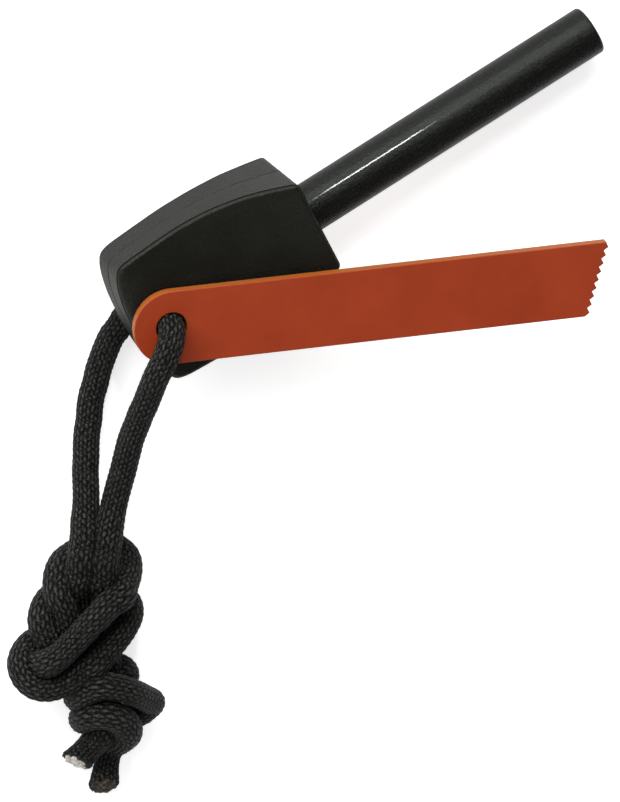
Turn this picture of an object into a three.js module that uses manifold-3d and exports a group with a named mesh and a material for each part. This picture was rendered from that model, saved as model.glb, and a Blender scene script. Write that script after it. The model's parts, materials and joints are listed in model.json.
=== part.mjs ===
// A pocket fire starter: a ferrocerium rod in a small two-part handle, a toothed scraper that
// turns on the lanyard, and one length of braided cord that ties both to a double knotted tail.
// Millimetres, +Z up. The object lies on a table as it does when it is put down: tipped forward
// onto the lower front edge of its handle and the end of its rod.
import * as THREE from 'three';
import { mergeVertices } from 'three/addons/utils/BufferGeometryUtils.js';
import Module from 'manifold-3d';

const wasm = await Module();
wasm.setup();

// Ferrocerium rod
const ROD_DIAMETER = 8.0;
const ROD_FREE_LENGTH = 54.1;
const ROD_SEAT_DEPTH = 20.0;
const ROD_TIP_ROUNDING = 0.8;
const ROD_TIP_RISE = 0.3;
const ROD_BACK_CHAMFER = 0.6;
const ROD_SEAT_CLEARANCE = 0.3;

// Handle, seen from above: straight across the front, widest past the middle, rounded at the butt
const HANDLE_LENGTH = 33.0;
const HANDLE_WIDTH = 23.32;
const FRONT_CORNER_RADIUS = 0.9;
// Handle, seen from the side: thick at the front, scooped to a waist, thinning again at the butt
const HANDLE_FRONT_HEIGHT = 15.64;
const EDGE_FILLET = 0.7;
const SEAM_GAP = 0.3;
const SEAM_BEVEL = 0.15;
// Half of the plan: [share of the length behind the front face, share of the half width]
const PLAN_SHARES = [
  [0.0, 0.698], [0.081, 0.772], [0.163, 0.84], [0.248, 0.9], [0.339, 0.945], [0.431, 0.978],
  [0.529, 0.996], [0.611, 1.0], [0.713, 0.989], [0.804, 0.975], [0.879, 0.96], [0.93, 0.922],
  [0.956, 0.832], [0.973, 0.712], [0.985, 0.566], [0.9955, 0.343], [1.0, 0.0],
];
// Side view: [share of the length behind the front face, share of the front half height]
const HEIGHT_SHARES = [
  [0.0, 1.0], [0.152, 0.854], [0.303, 0.746], [0.454, 0.67], [0.606, 0.632], [0.727, 0.623],
  [0.848, 0.62], [0.909, 0.602], [0.955, 0.557], [0.99, 0.49], [1.0, 0.47],
];
const CREST_SHARE = 0.854;

// Lanyard hole through the handle
const HOLE_DIAMETER = 7.0;
const HOLE_FROM_BUTT = 5.0;

// Scraper plate
const SCRAPER_WIDTH = 12.15;
const SCRAPER_THICKNESS = 1.6;
const SCRAPER_REACH = 70.55;
const SCRAPER_HOLE_DIAMETER = 5.0;
const SCRAPER_LIFT = 0.3;
const SCRAPER_END_SLANT = THREE.MathUtils.degToRad(16.4);
const SCRAPER_SWING_AT_REST = THREE.MathUtils.degToRad(-25.15);
const TOOTH_COUNT = 9;
const TOOTH_PITCH = 1.39;
const TOOTH_DEPTH = 0.6;

// Braided cord
const CORD_DIAMETER = 4.0;
const CORD_FIT = 0.2;
const CORD_STEP = 2.0;
const CORD_SIDES = 8;
const CORD_LIFT = 0.1;
const CORD_SELF_GAP = 0.65;
const MOUTH_BEND = 3.6;
const ARCH_BEND = 4.3;
const ARCH_SINK = 1.2;
const ARCH_RUN = 3.6;
const UNDER_HEADING = THREE.MathUtils.degToRad(200);
const ARCH_HEADING = THREE.MathUtils.degToRad(-143);
const CORE_DIAMETER = 2.9;
const CORE_LENGTH = 1.1;
const CORE_GAP = 0.3;
// Tightest bends that the settled cord may take, as chords over two and three of its steps
const CHORD_TWO_SHARE = 0.915;
const CHORD_THREE_SHARE = 0.817;

// The cord's route on the table, in millimetres from the foot of the handle's front face.
// The outer strand runs back from under the handle, makes the left ring and the lower diagonal of
// the upper knot, comes down on its left and is the core of the lower knot.
const OUTER_STRAND = [
  [-35.7, -4.9, 2.0], [-38.3, -7.1, 2.0], [-40.6, -9.6, 2.0], [-42.7, -12.1, 2.2], [-44.6, -14.7, 2.6],
  [-46.4, -17.1, 3.4], [-48.9, -20.7, 5.0], [-50.9, -23.6, 6.8], [-53.4, -27.2, 8.6],
  [-55.8, -31.1, 9.6], [-57.5, -35.4, 8.6], [-58.5, -39.6, 6.2], [-60.0, -43.4, 3.6],
  [-62.3, -45.2, 2.4], [-64.6, -44.9, 2.2], [-66.1, -44.4, 2.6], [-67.8, -43.7, 3.5],
  [-69.9, -43.8, 5.2], [-71.9, -44.3, 6.5], [-72.5, -46.1, 7.6], [-70.7, -48.2, 8.4],
  [-67.2, -48.9, 9.0], [-63.0, -48.2, 9.4], [-58.8, -47.2, 9.4], [-55.5, -46.2, 8.3],
  [-53.1, -45.3, 5.9], [-52.8, -44.3, 3.4], [-54.0, -41.9, 2.2], [-56.1, -40.0, 2.3],
  [-59.2, -38.5, 2.6], [-62.1, -37.3, 3.8], [-64.8, -37.5, 5.4], [-66.3, -38.8, 6.6],
  [-66.8, -41.5, 7.0], [-66.5, -44.8, 6.6], [-65.5, -48.8, 5.6], [-63.7, -52.9, 6.0],
  [-63.3, -55.9, 6.9], [-63.9, -58.6, 6.9], [-65.7, -61.2, 5.8], [-68.0, -62.6, 5.2],
  [-70.7, -63.4, 5.0],
];
// The inner strand comes over the scraper's end, turns in the eye of the upper knot, makes its
// upper diagonal and upper lobes, and is wound twice round the other strand as the lower knot.
const INNER_STRAND = [
  [-36.6, -9.6, 17.4], [-39.0, -12.9, 15.2], [-41.3, -16.1, 13.4], [-44.4, -20.9, 11.4],
  [-47.6, -25.4, 10.0], [-50.2, -28.5, 10.2], [-53.0, -32.0, 10.4], [-55.6, -36.2, 9.4],
  [-57.3, -40.0, 7.2], [-58.6, -43.9, 4.6], [-60.4, -46.9, 3.0], [-63.0, -48.3, 2.2],
  [-65.6, -47.9, 2.0], [-67.5, -46.9, 2.3], [-69.0, -45.5, 4.3], [-69.6, -44.6, 7.2],
  [-69.0, -44.1, 9.4], [-67.4, -43.5, 10.8], [-64.5, -42.4, 11.6], [-60.7, -40.7, 12.4],
  [-56.8, -39.7, 12.0], [-53.1, -39.2, 10.0], [-50.3, -38.3, 7.0], [-49.7, -36.6, 4.4],
  [-51.1, -35.1, 3.2], [-53.5, -33.7, 2.8], [-56.2, -33.1, 3.2], [-58.7, -32.7, 4.6],
  [-60.8, -33.6, 6.7], [-62.1, -35.8, 7.8], [-62.5, -38.8, 7.9], [-63.4, -42.4, 7.2],
  [-63.1, -46.0, 6.6], [-62.0, -49.3, 6.2], [-60.8, -51.5, 5.3], [-59.5, -53.0, 4.7],
  [-58.5, -54.8, 4.1], [-58.8, -57.3, 2.5], [-61.0, -57.9, 2.0], [-63.3, -57.3, 2.0],
  [-65.1, -56.2, 2.8], [-65.9, -53.2, 5.6], [-64.8, -51.4, 9.5], [-62.8, -51.8, 11.0],
  [-60.0, -55.0, 10.4], [-58.1, -58.7, 7.7], [-57.3, -62.0, 4.6], [-59.1, -63.5, 2.5],
  [-62.0, -62.8, 2.0], [-65.3, -61.5, 2.0], [-67.0, -59.0, 4.7], [-66.9, -56.3, 8.6],
  [-65.1, -56.2, 10.4], [-63.2, -58.9, 9.3], [-62.7, -62.0, 8.3], [-63.9, -64.3, 5.2],
  [-65.1, -65.1, 2.3], [-66.4, -66.4, 2.0], [-67.6, -68.0, 2.2], [-68.5, -69.1, 2.9],
];

// Counts that set how fine the surfaces are, and how often the rest pose is corrected
const LEVELLING_PASSES = 4;
const ROUND_SIDES = 32;
const FILLET_STEPS = 3;
const CORNER_STEPS = 3;
const CUT_OVERRUN = 2.0;

// Places worked out from the sizes above
const RESTING_HALF_HEIGHT = HANDLE_FRONT_HEIGHT / 2;
const HOLE_X = HOLE_FROM_BUTT - HANDLE_LENGTH;
const CORD_RADIUS = CORD_DIAMETER / 2;
const CORD_Y = CORD_RADIUS + CORD_FIT - HOLE_DIAMETER / 2;
const SCRAPER_HOLE_Y = CORD_Y + CORD_RADIUS + CORD_FIT - SCRAPER_HOLE_DIAMETER / 2;
const CREST_X = -CREST_SHARE * HANDLE_LENGTH;
const CREST_HEIGHT = heightAt(CREST_X);
const SCRAPER_LEAN = Math.atan((RESTING_HALF_HEIGHT - CREST_HEIGHT) / -CREST_X);

// Smooth curve through a table of shares, read at one share
function alongShares(shares, at) {
  let k = 1;
  while (k < shares.length - 1 && shares[k][0] < at) k += 1;
  const slope = (a, b) => (shares[b][1] - shares[a][1]) / (shares[b][0] - shares[a][0]);
  const last = shares.length - 1;
  const near = slope(Math.max(k - 2, 0), k);
  const far = slope(k - 1, Math.min(k + 1, last));
  const span = shares[k][0] - shares[k - 1][0];
  const t = (at - shares[k - 1][0]) / span;
  const s = 1 - t;
  return s * s * (1 + 2 * t) * shares[k - 1][1] + t * t * (1 + 2 * s) * shares[k][1]
    + s * s * t * span * near - t * t * s * span * far;
}

// Half height of the handle at a place along it
function heightAt(x) {
  const share = THREE.MathUtils.clamp(-x / HANDLE_LENGTH, 0, 1);
  return RESTING_HALF_HEIGHT * alongShares(HEIGHT_SHARES, share);
}

// One material for each kind of surface
function finish(color, roughness, metalness) {
  return new THREE.MeshStandardMaterial({ color, roughness, metalness });
}

const MOULDED = finish(0x2b2c2a, 0.62, 0.0);
const FERROCERIUM = finish(0x26272a, 0.38, 0.75);
const ANODISED = finish(0x9c3c22, 0.42, 0.6);
const BRAID = finish(0x262826, 0.9, 0.0);
const WHITE_CORE = finish(0xd8d4cc, 0.9, 0.0);
const MELTED_CORE = finish(0xb39a72, 0.6, 0.0);

function named(name, geometry, material) {
  const mesh = new THREE.Mesh(geometry, material);
  mesh.name = name;
  return mesh;
}

// Solid for joining and cutting, from any closed geometry
function solid(geometry) {
  const bare = geometry.clone();
  bare.deleteAttribute('normal');
  bare.deleteAttribute('uv');
  const merged = mergeVertices(bare);
  const vertProperties = new Float32Array(merged.attributes.position.array);
  const triVerts = new Uint32Array(merged.index.array);
  return new wasm.Manifold(new wasm.Mesh({ numProp: 3, vertProperties, triVerts }));
}

function geometryOf(body) {
  const mesh = body.getMesh();
  const geometry = new THREE.BufferGeometry();
  geometry.setAttribute('position', new THREE.BufferAttribute(new Float32Array(mesh.vertProperties), 3));
  geometry.setIndex(new THREE.BufferAttribute(new Uint32Array(mesh.triVerts), 1));
  geometry.computeVertexNormals();
  return geometry;
}

// Half of the handle's plan, from the middle of the front face round to the middle of the butt
function planPoints() {
  const halfWidth = HANDLE_WIDTH / 2;
  const front = halfWidth * PLAN_SHARES[0][1];
  const side = PLAN_SHARES.slice(1).map(([along, out]) =>
    new THREE.Vector2(-along * HANDLE_LENGTH, out * halfWidth));
  const afterCorner = halfWidth * alongShares(PLAN_SHARES, FRONT_CORNER_RADIUS / HANDLE_LENGTH);
  const corner = new THREE.QuadraticBezierCurve(
    new THREE.Vector2(0, front - FRONT_CORNER_RADIUS),
    new THREE.Vector2(0, front),
    new THREE.Vector2(-FRONT_CORNER_RADIUS, afterCorner),
  );
  const flank = new THREE.SplineCurve([new THREE.Vector2(-FRONT_CORNER_RADIUS, afterCorner), ...side]);
  const flankPoints = flank.getPoints(2 * side.length).slice(1);
  flankPoints[flankPoints.length - 1].y = 0;
  return [new THREE.Vector2(0, 0), ...corner.getPoints(CORNER_STEPS), ...flankPoints];
}

// The plan moved inward by a distance, each point along its own normal
function insetPlan(plan, distance) {
  return plan.map((point, i) => {
    const before = i > 0 ? plan[i - 1] : new THREE.Vector2(plan[1].x, -plan[1].y);
    const beyond = plan.length - 2;
    const after = i <= beyond ? plan[i + 1] : new THREE.Vector2(plan[beyond].x, -plan[beyond].y);
    const along = after.clone().sub(before).normalize();
    return new THREE.Vector2(point.x - along.y * distance, point.y + along.x * distance);
  });
}

// Rings of one half of the handle, from the seam up to the inner edge of the fillet
function halfRings() {
  const plan = planPoints();
  const rings = [
    { inset: SEAM_BEVEL, height: () => SEAM_GAP / 2 },
    { inset: 0, height: () => SEAM_GAP / 2 + SEAM_BEVEL },
  ];
  for (let i = 0; i <= FILLET_STEPS; i += 1) {
    const turn = (i / FILLET_STEPS) * (Math.PI / 2);
    const rise = EDGE_FILLET * (1 - Math.sin(turn));
    rings.push({ inset: EDGE_FILLET * (1 - Math.cos(turn)), height: (x) => heightAt(x) - rise });
  }
  return rings.map(({ inset, height }) =>
    insetPlan(plan, inset).map((p) => new THREE.Vector3(p.x, p.y, height(p.x))));
}

// Upper half of the handle before it is cut: walls between the rings, strips across top and seam
function halfBlank() {
  const rings = halfRings();
  const count = rings[0].length;
  const around = 2 * count - 2;
  const positions = rings.flatMap((ring) => {
    const far = ring.slice(1, -1).reverse().map((p) => new THREE.Vector3(p.x, -p.y, p.z));
    return [...ring, ...far].flatMap((p) => p.toArray());
  });
  const at = (ring, i) => ring * around + ((i + around) % around);
  const faces = [];
  const quad = (a, b, c, d) => faces.push(a, b, c, a, c, d);
  for (let r = 0; r < rings.length - 1; r += 1) {
    for (let i = 0; i < around; i += 1) quad(at(r, i), at(r, i + 1), at(r + 1, i + 1), at(r + 1, i));
  }
  const top = rings.length - 1;
  for (let i = 0; i < count - 1; i += 1) {
    quad(at(top, i), at(top, i + 1), at(top, -i - 1), at(top, -i));
    quad(at(0, i), at(0, -i), at(0, -i - 1), at(0, i + 1));
  }
  const geometry = new THREE.BufferGeometry();
  geometry.setAttribute('position', new THREE.Float32BufferAttribute(positions, 3));
  geometry.setIndex(withoutSlivers(faces));
  return geometry;
}

// Triangles that name the same corner twice have no area and are dropped
function withoutSlivers(faces) {
  const kept = [];
  for (let i = 0; i < faces.length; i += 3) {
    const [a, b, c] = faces.slice(i, i + 3);
    if (a !== b && b !== c && c !== a) kept.push(a, b, c);
  }
  return kept;
}

// Seat of the rod, open at the front face, and the hole for the lanyard
function rodSeatCutter() {
  const length = ROD_SEAT_DEPTH + ROD_SEAT_CLEARANCE + CUT_OVERRUN;
  const radius = ROD_DIAMETER / 2 + ROD_SEAT_CLEARANCE;
  const cutter = new THREE.CylinderGeometry(radius, radius, length, ROUND_SIDES);
  cutter.rotateZ(-Math.PI / 2);
  cutter.translate(CUT_OVERRUN - length / 2, 0, 0);
  return cutter;
}

function holeCutter() {
  const radius = HOLE_DIAMETER / 2;
  const cutter = new THREE.CylinderGeometry(radius, radius, HANDLE_FRONT_HEIGHT, ROUND_SIDES);
  cutter.rotateX(Math.PI / 2);
  cutter.translate(HOLE_X, 0, 0);
  return cutter;
}

function handleHalf(name, turn) {
  const body = solid(halfBlank()).subtract(solid(rodSeatCutter())).subtract(solid(holeCutter()));
  const mesh = named(name, geometryOf(body), MOULDED);
  mesh.rotation.x = turn;
  return mesh;
}

// The rod lies along X with its free end forward; the end is nearly flat with a rounded rim
function ferroRod() {
  const radius = ROD_DIAMETER / 2;
  const flat = radius - 2 * ROD_TIP_ROUNDING;
  const profile = [
    new THREE.Vector2(0, -ROD_SEAT_DEPTH),
    new THREE.Vector2(radius - ROD_BACK_CHAMFER, -ROD_SEAT_DEPTH),
    new THREE.Vector2(radius, -ROD_SEAT_DEPTH + ROD_BACK_CHAMFER),
    new THREE.Vector2(radius, ROD_FREE_LENGTH - ROD_TIP_ROUNDING),
    new THREE.Vector2(radius - ROD_TIP_RISE, ROD_FREE_LENGTH - ROD_TIP_RISE),
    new THREE.Vector2(flat, ROD_FREE_LENGTH),
    new THREE.Vector2(0, ROD_FREE_LENGTH),
  ];
  const geometry = new THREE.LatheGeometry(profile, ROUND_SIDES);
  geometry.rotateZ(-Math.PI / 2);
  return named('ferro_rod', geometry, FERROCERIUM);
}

// Outline of the scraper about the centre of its hole, long side along +X
function scraperOutline() {
  const half = SCRAPER_WIDTH / 2;
  const along = new THREE.Vector2(-Math.sin(SCRAPER_END_SLANT), -Math.cos(SCRAPER_END_SLANT));
  const outward = new THREE.Vector2(-along.y, along.x);
  const endMiddle = SCRAPER_REACH - half * Math.tan(SCRAPER_END_SLANT);
  const outline = new THREE.Shape();
  outline.absarc(0, 0, half, Math.PI / 2, (3 * Math.PI) / 2, false);
  outline.lineTo(SCRAPER_REACH - SCRAPER_WIDTH * Math.tan(SCRAPER_END_SLANT), -half);
  for (let i = TOOTH_COUNT - 1; i >= 0; i -= 1) {
    const middle = (i - (TOOTH_COUNT - 1) / 2) * TOOTH_PITCH;
    const foot = new THREE.Vector2(endMiddle, 0).addScaledVector(along, middle + TOOTH_PITCH / 2);
    const tip = new THREE.Vector2(endMiddle, 0).addScaledVector(along, middle)
      .addScaledVector(outward, TOOTH_DEPTH);
    if (i < TOOTH_COUNT - 1) outline.lineTo(foot.x, foot.y);
    outline.lineTo(tip.x, tip.y);
  }
  outline.lineTo(SCRAPER_REACH, half);
  outline.closePath();
  const hole = new THREE.Path();
  hole.absarc(0, 0, SCRAPER_HOLE_DIAMETER / 2, 0, 2 * Math.PI, true);
  outline.holes.push(hole);
  return outline;
}

function scraper() {
  const geometry = new THREE.ExtrudeGeometry(scraperOutline(), {
    depth: SCRAPER_THICKNESS, bevelEnabled: false, curveSegments: ROUND_SIDES / 2,
  });
  const mesh = named('scraper', geometry, ANODISED);
  mesh.rotation.z = SCRAPER_SWING_AT_REST;
  return mesh;
}

// The scraper lies on the two high places of the handle, the front edge and the waist
function scraperMount() {
  const mount = new THREE.Group();
  mount.position.set(HOLE_X, SCRAPER_HOLE_Y, scraperUnderside());
  mount.rotation.y = -SCRAPER_LEAN;
  mount.add(scraper());
  return mount;
}

function scraperUnderside() {
  return CREST_HEIGHT + (CREST_X - HOLE_X) * -Math.tan(SCRAPER_LEAN) + SCRAPER_LIFT;
}

// Rod, handle and scraper, tipped nose down until the handle's front edge and the rod's end both
// lie on the table
function tippedBody() {
  const tipped = new THREE.Group();
  const under = handleHalf('handle_lower_half', Math.PI);
  const rod = ferroRod();
  tipped.add(handleHalf('handle_upper_half', 0), under, rod, scraperMount());
  const lowest = (object) => new THREE.Box3().setFromObject(object, true).min.z;
  for (let pass = 0; pass < LEVELLING_PASSES; pass += 1) {
    tipped.updateMatrixWorld(true);
    tipped.rotation.y += (lowest(rod) - lowest(under)) / ROD_FREE_LENGTH;
  }
  tipped.updateMatrixWorld(true);
  tipped.position.z = -lowest(tipped);
  tipped.updateMatrixWorld(true);
  return tipped;
}

// The stretch of cord that the handle and the scraper hold: a bend under the butt, the straight
// way up through both holes, and the arch over the scraper's round end
function heldCord(tipped) {
  const lowest = tipped.localToWorld(new THREE.Vector3(HOLE_X, CORD_Y, -CREST_HEIGHT));
  const highest = tipped.localToWorld(new THREE.Vector3(HOLE_X, CORD_Y, scraperUnderside() + SCRAPER_THICKNESS));
  const upward = highest.clone().sub(lowest).normalize();
  const bendTop = lowest.clone().addScaledVector(upward, (CORD_RADIUS + CORD_LIFT + MOUTH_BEND - lowest.z) / upward.z);
  const archFoot = highest.clone().addScaledVector(upward, -ARCH_SINK);
  const points = [];
  const turnPoint = (start, heading, radius, turn, lift) => new THREE.Vector3(
    start.x + Math.cos(heading) * radius * (1 - Math.cos(turn)),
    start.y + Math.sin(heading) * radius * (1 - Math.cos(turn)),
    start.z + lift * radius * Math.sin(turn),
  );
  for (let turn = Math.PI / 2; turn > 0; turn -= Math.PI / 8) {
    points.push(turnPoint(bendTop, UNDER_HEADING, MOUTH_BEND, turn, -1));
  }
  points.push(bendTop, bendTop.clone().lerp(archFoot, 1 / 3), bendTop.clone().lerp(archFoot, 2 / 3));
  for (let turn = 0; turn <= Math.PI / 2; turn += Math.PI / 8) {
    points.push(turnPoint(archFoot, ARCH_HEADING, ARCH_BEND, turn, 1));
  }
  const run = new THREE.Vector3(Math.cos(ARCH_HEADING), Math.sin(ARCH_HEADING), 0);
  points.push(points[points.length - 1].clone().addScaledVector(run, ARCH_RUN));
  return points;
}

// Evenly spaced points on a smooth line
function spaced(points) {
  const line = new THREE.CatmullRomCurve3(points, false, 'centripetal');
  line.arcLengthDivisions = 40 * points.length;
  return line.getSpacedPoints(Math.round(line.getLength() / CORD_STEP));
}

// Points of the whole cord, from the cut white end to the melted one, and which of them are held
function laidCord(tipped) {
  const held = heldCord(tipped);
  const toPoint = (place) => new THREE.Vector3(...place);
  const first = spaced([...OUTER_STRAND.map(toPoint).reverse(), held[0]]);
  const middle = spaced(held);
  const last = spaced([held[held.length - 1], ...INNER_STRAND.map(toPoint)]);
  const points = [...first, ...middle.slice(1), ...last.slice(1)];
  const isHeld = points.map((_, i) => i >= first.length - 1 && i < first.length + middle.length - 1);
  return { points, isHeld };
}

// One step of settling: every pair that is too close, and every bend that is too tight, gives way
function giveWay(points, isHeld, firmness) {
  const moves = points.map(() => new THREE.Vector3());
  const counts = points.map(() => 0);
  const between = new THREE.Vector3();
  const keep = (i, j, distance, isLeast) => {
    between.subVectors(points[j], points[i]);
    const apart = between.length();
    if ((isLeast && apart >= distance) || (isHeld[i] && isHeld[j])) return;
    between.multiplyScalar((apart - distance) / apart / 2);
    moves[i].addScaledVector(between, isHeld[j] ? 2 : 1);
    moves[j].addScaledVector(between, isHeld[i] ? -2 : -1);
    counts[i] += 1;
    counts[j] += 1;
  };
  for (let i = 0; i < points.length; i += 1) {
    if (i + 1 < points.length) keep(i, i + 1, CORD_STEP, false);
    if (i + 2 < points.length) keep(i, i + 2, 2 * CORD_STEP * CHORD_TWO_SHARE, true);
    if (i + 3 < points.length) keep(i, i + 3, 3 * CORD_STEP * CHORD_THREE_SHARE, true);
    for (let j = i + 4; j < points.length; j += 1) keep(i, j, CORD_DIAMETER + CORD_SELF_GAP, true);
  }
  points.forEach((point, i) => {
    if (isHeld[i]) return;
    point.addScaledVector(moves[i], firmness / Math.max(1, counts[i] / 2));
    point.z = Math.max(point.z, CORD_RADIUS + CORD_LIFT);
  });
}

// The cord settles from its route into a knot whose strands touch nowhere
function settle(points, isHeld) {
  const aims = points.map((point) => point.clone());
  const stages = [
    { passes: 250, rounds: 6, smoothing: 0.1, pull: 0.03 },
    { passes: 60, rounds: 10, smoothing: 0.02, pull: 0 },
    { passes: 1, rounds: 400, smoothing: 0, pull: 0 },
  ];
  stages.forEach(({ passes, rounds, smoothing, pull }) => {
    for (let pass = 0; pass < passes; pass += 1) {
      const before = points.map((point) => point.clone());
      for (let i = 1; i < points.length - 1; i += 1) {
        if (isHeld[i]) continue;
        const middle = before[i - 1].clone().lerp(before[i + 1], 0.5);
        points[i].lerp(middle, smoothing).lerp(aims[i], pull);
      }
      for (let round = 0; round < rounds; round += 1) giveWay(points, isHeld, 0.5);
    }
  });
  return points;
}

// Least distance between two straight pieces of the centre line
function apartAt(p, q, r, s) {
  const u = q.clone().sub(p);
  const v = s.clone().sub(r);
  const w = p.clone().sub(r);
  const [a, b, c, d, e] = [u.dot(u), u.dot(v), v.dot(v), u.dot(w), v.dot(w)];
  const flat = a * c - b * b;
  const clamp = (value) => THREE.MathUtils.clamp(value, 0, 1);
  const t = clamp(flat > 0 ? (a * e - b * d) / flat : 0);
  const near = clamp((t * b - d) / a);
  const far = clamp((near * b + e) / c);
  return p.clone().addScaledVector(u, near).distanceTo(r.clone().addScaledVector(v, far));
}

// Least gap between two stretches of the cord's surface that are not neighbours along it
function leastGap(points) {
  let least = Infinity;
  for (let i = 0; i < points.length - 1; i += 1) {
    for (let j = i + 4; j < points.length - 1; j += 1) {
      least = Math.min(least, apartAt(points[i], points[i + 1], points[j], points[j + 1]));
    }
  }
  return least - CORD_DIAMETER;
}

// One unbroken tube along the settled points
function cordTube(points) {
  const line = new THREE.CatmullRomCurve3(points, false, 'centripetal');
  line.arcLengthDivisions = 10 * points.length;
  const section = new THREE.Shape();
  for (let i = 0; i < CORD_SIDES; i += 1) {
    const turn = (i / CORD_SIDES) * 2 * Math.PI;
    const place = [CORD_RADIUS * Math.cos(turn), CORD_RADIUS * Math.sin(turn)];
    if (i === 0) section.moveTo(...place);
    else section.lineTo(...place);
  }
  section.closePath();
  const geometry = new THREE.ExtrudeGeometry(section, { steps: points.length, extrudePath: line });
  return named('lanyard_cord', geometry, BRAID);
}

// Core that shows at a cut end of the cord
function coreEnd(name, end, inner, material) {
  const outward = end.clone().sub(inner).normalize();
  const geometry = new THREE.CylinderGeometry(CORE_DIAMETER / 2, CORE_DIAMETER / 2, CORE_LENGTH, CORD_SIDES);
  const mesh = named(name, geometry, material);
  mesh.quaternion.setFromUnitVectors(new THREE.Vector3(0, 1, 0), outward);
  mesh.position.copy(end).addScaledVector(outward, CORE_GAP + CORE_LENGTH / 2);
  return mesh;
}

function fireStarter() {
  const tipped = tippedBody();
  const { points, isHeld } = laidCord(tipped);
  settle(points, isHeld);
  console.log(`cord: ${points.length} points, least gap to itself ${leastGap(points).toFixed(2)} mm`);
  const last = points.length - 1;
  const onTable = new THREE.Group();
  onTable.add(tipped);
  const box = new THREE.Box3().setFromObject(tipped, true);
  onTable.add(cordTube(points));
  onTable.add(coreEnd('cord_cut_core', points[0], points[1], WHITE_CORE));
  onTable.add(coreEnd('cord_melted_core', points[last], points[last - 1], MELTED_CORE));
  const middle = box.getCenter(new THREE.Vector3());
  onTable.position.set(-middle.x, -middle.y, 0);
  const whole = new THREE.Group();
  whole.add(onTable);
  return whole;
}

export default fireStarter();
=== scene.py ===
"""Looks of the pocket fire starter: rod, two-part handle, toothed scraper and knotted braided lanyard."""

import json
import logging
import math
from dataclasses import dataclass
from enum import Enum
from typing import Sequence

import bmesh
import bpy
import numpy as np
from mathutils import Matrix, Vector


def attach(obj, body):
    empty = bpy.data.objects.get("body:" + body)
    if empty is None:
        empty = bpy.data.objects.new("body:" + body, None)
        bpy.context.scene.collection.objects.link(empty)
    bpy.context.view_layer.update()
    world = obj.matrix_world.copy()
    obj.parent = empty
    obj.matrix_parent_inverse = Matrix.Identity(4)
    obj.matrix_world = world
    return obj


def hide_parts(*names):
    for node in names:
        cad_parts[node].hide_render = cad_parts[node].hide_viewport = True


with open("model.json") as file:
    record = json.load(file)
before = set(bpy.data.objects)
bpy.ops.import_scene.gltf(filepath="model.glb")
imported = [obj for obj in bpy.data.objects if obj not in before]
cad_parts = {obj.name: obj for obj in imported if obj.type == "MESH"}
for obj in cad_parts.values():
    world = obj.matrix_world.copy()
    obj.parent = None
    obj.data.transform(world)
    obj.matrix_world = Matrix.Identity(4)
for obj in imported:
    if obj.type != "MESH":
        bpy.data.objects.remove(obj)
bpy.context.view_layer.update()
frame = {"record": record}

LOG = logging.getLogger("fire_starter")
MM = 0.001
# Places closer than SAME are one place, and no divisor is under NOT_ZERO
SAME = 0.0001 * MM
NOT_ZERO = 1e-9
HARD_IOR = 1.5
FLATNESS = 60
NEVER_SHARP = 180.0

Colour = tuple[float, float, float, float]
Span = tuple[float, float]
Point = tuple[float, float]
Place = tuple[float, float, float]
Shape = bmesh.types.BMesh
Piece = bpy.types.Object
Finish = bpy.types.Material
Socket = bpy.types.NodeSocket


class CordEnd(Enum):
    """How an end of the cord is finished: the shares by which it swells there and slims behind."""

    CUT = (0.22, 0.0)
    MELTED = (0.20, 0.09)


class Half(Enum):
    """The two moulded halves of the handle, and the turn that puts each in place."""

    UPPER = 0.0
    LOWER = math.pi


# The finishes


@dataclass(frozen=True)
class Grain:
    """A noise: how many grains it has in a metre, its finer layers, and the share that each one has."""

    per_metre: float
    layers: float = 3.0
    share: float = 0.5


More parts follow.
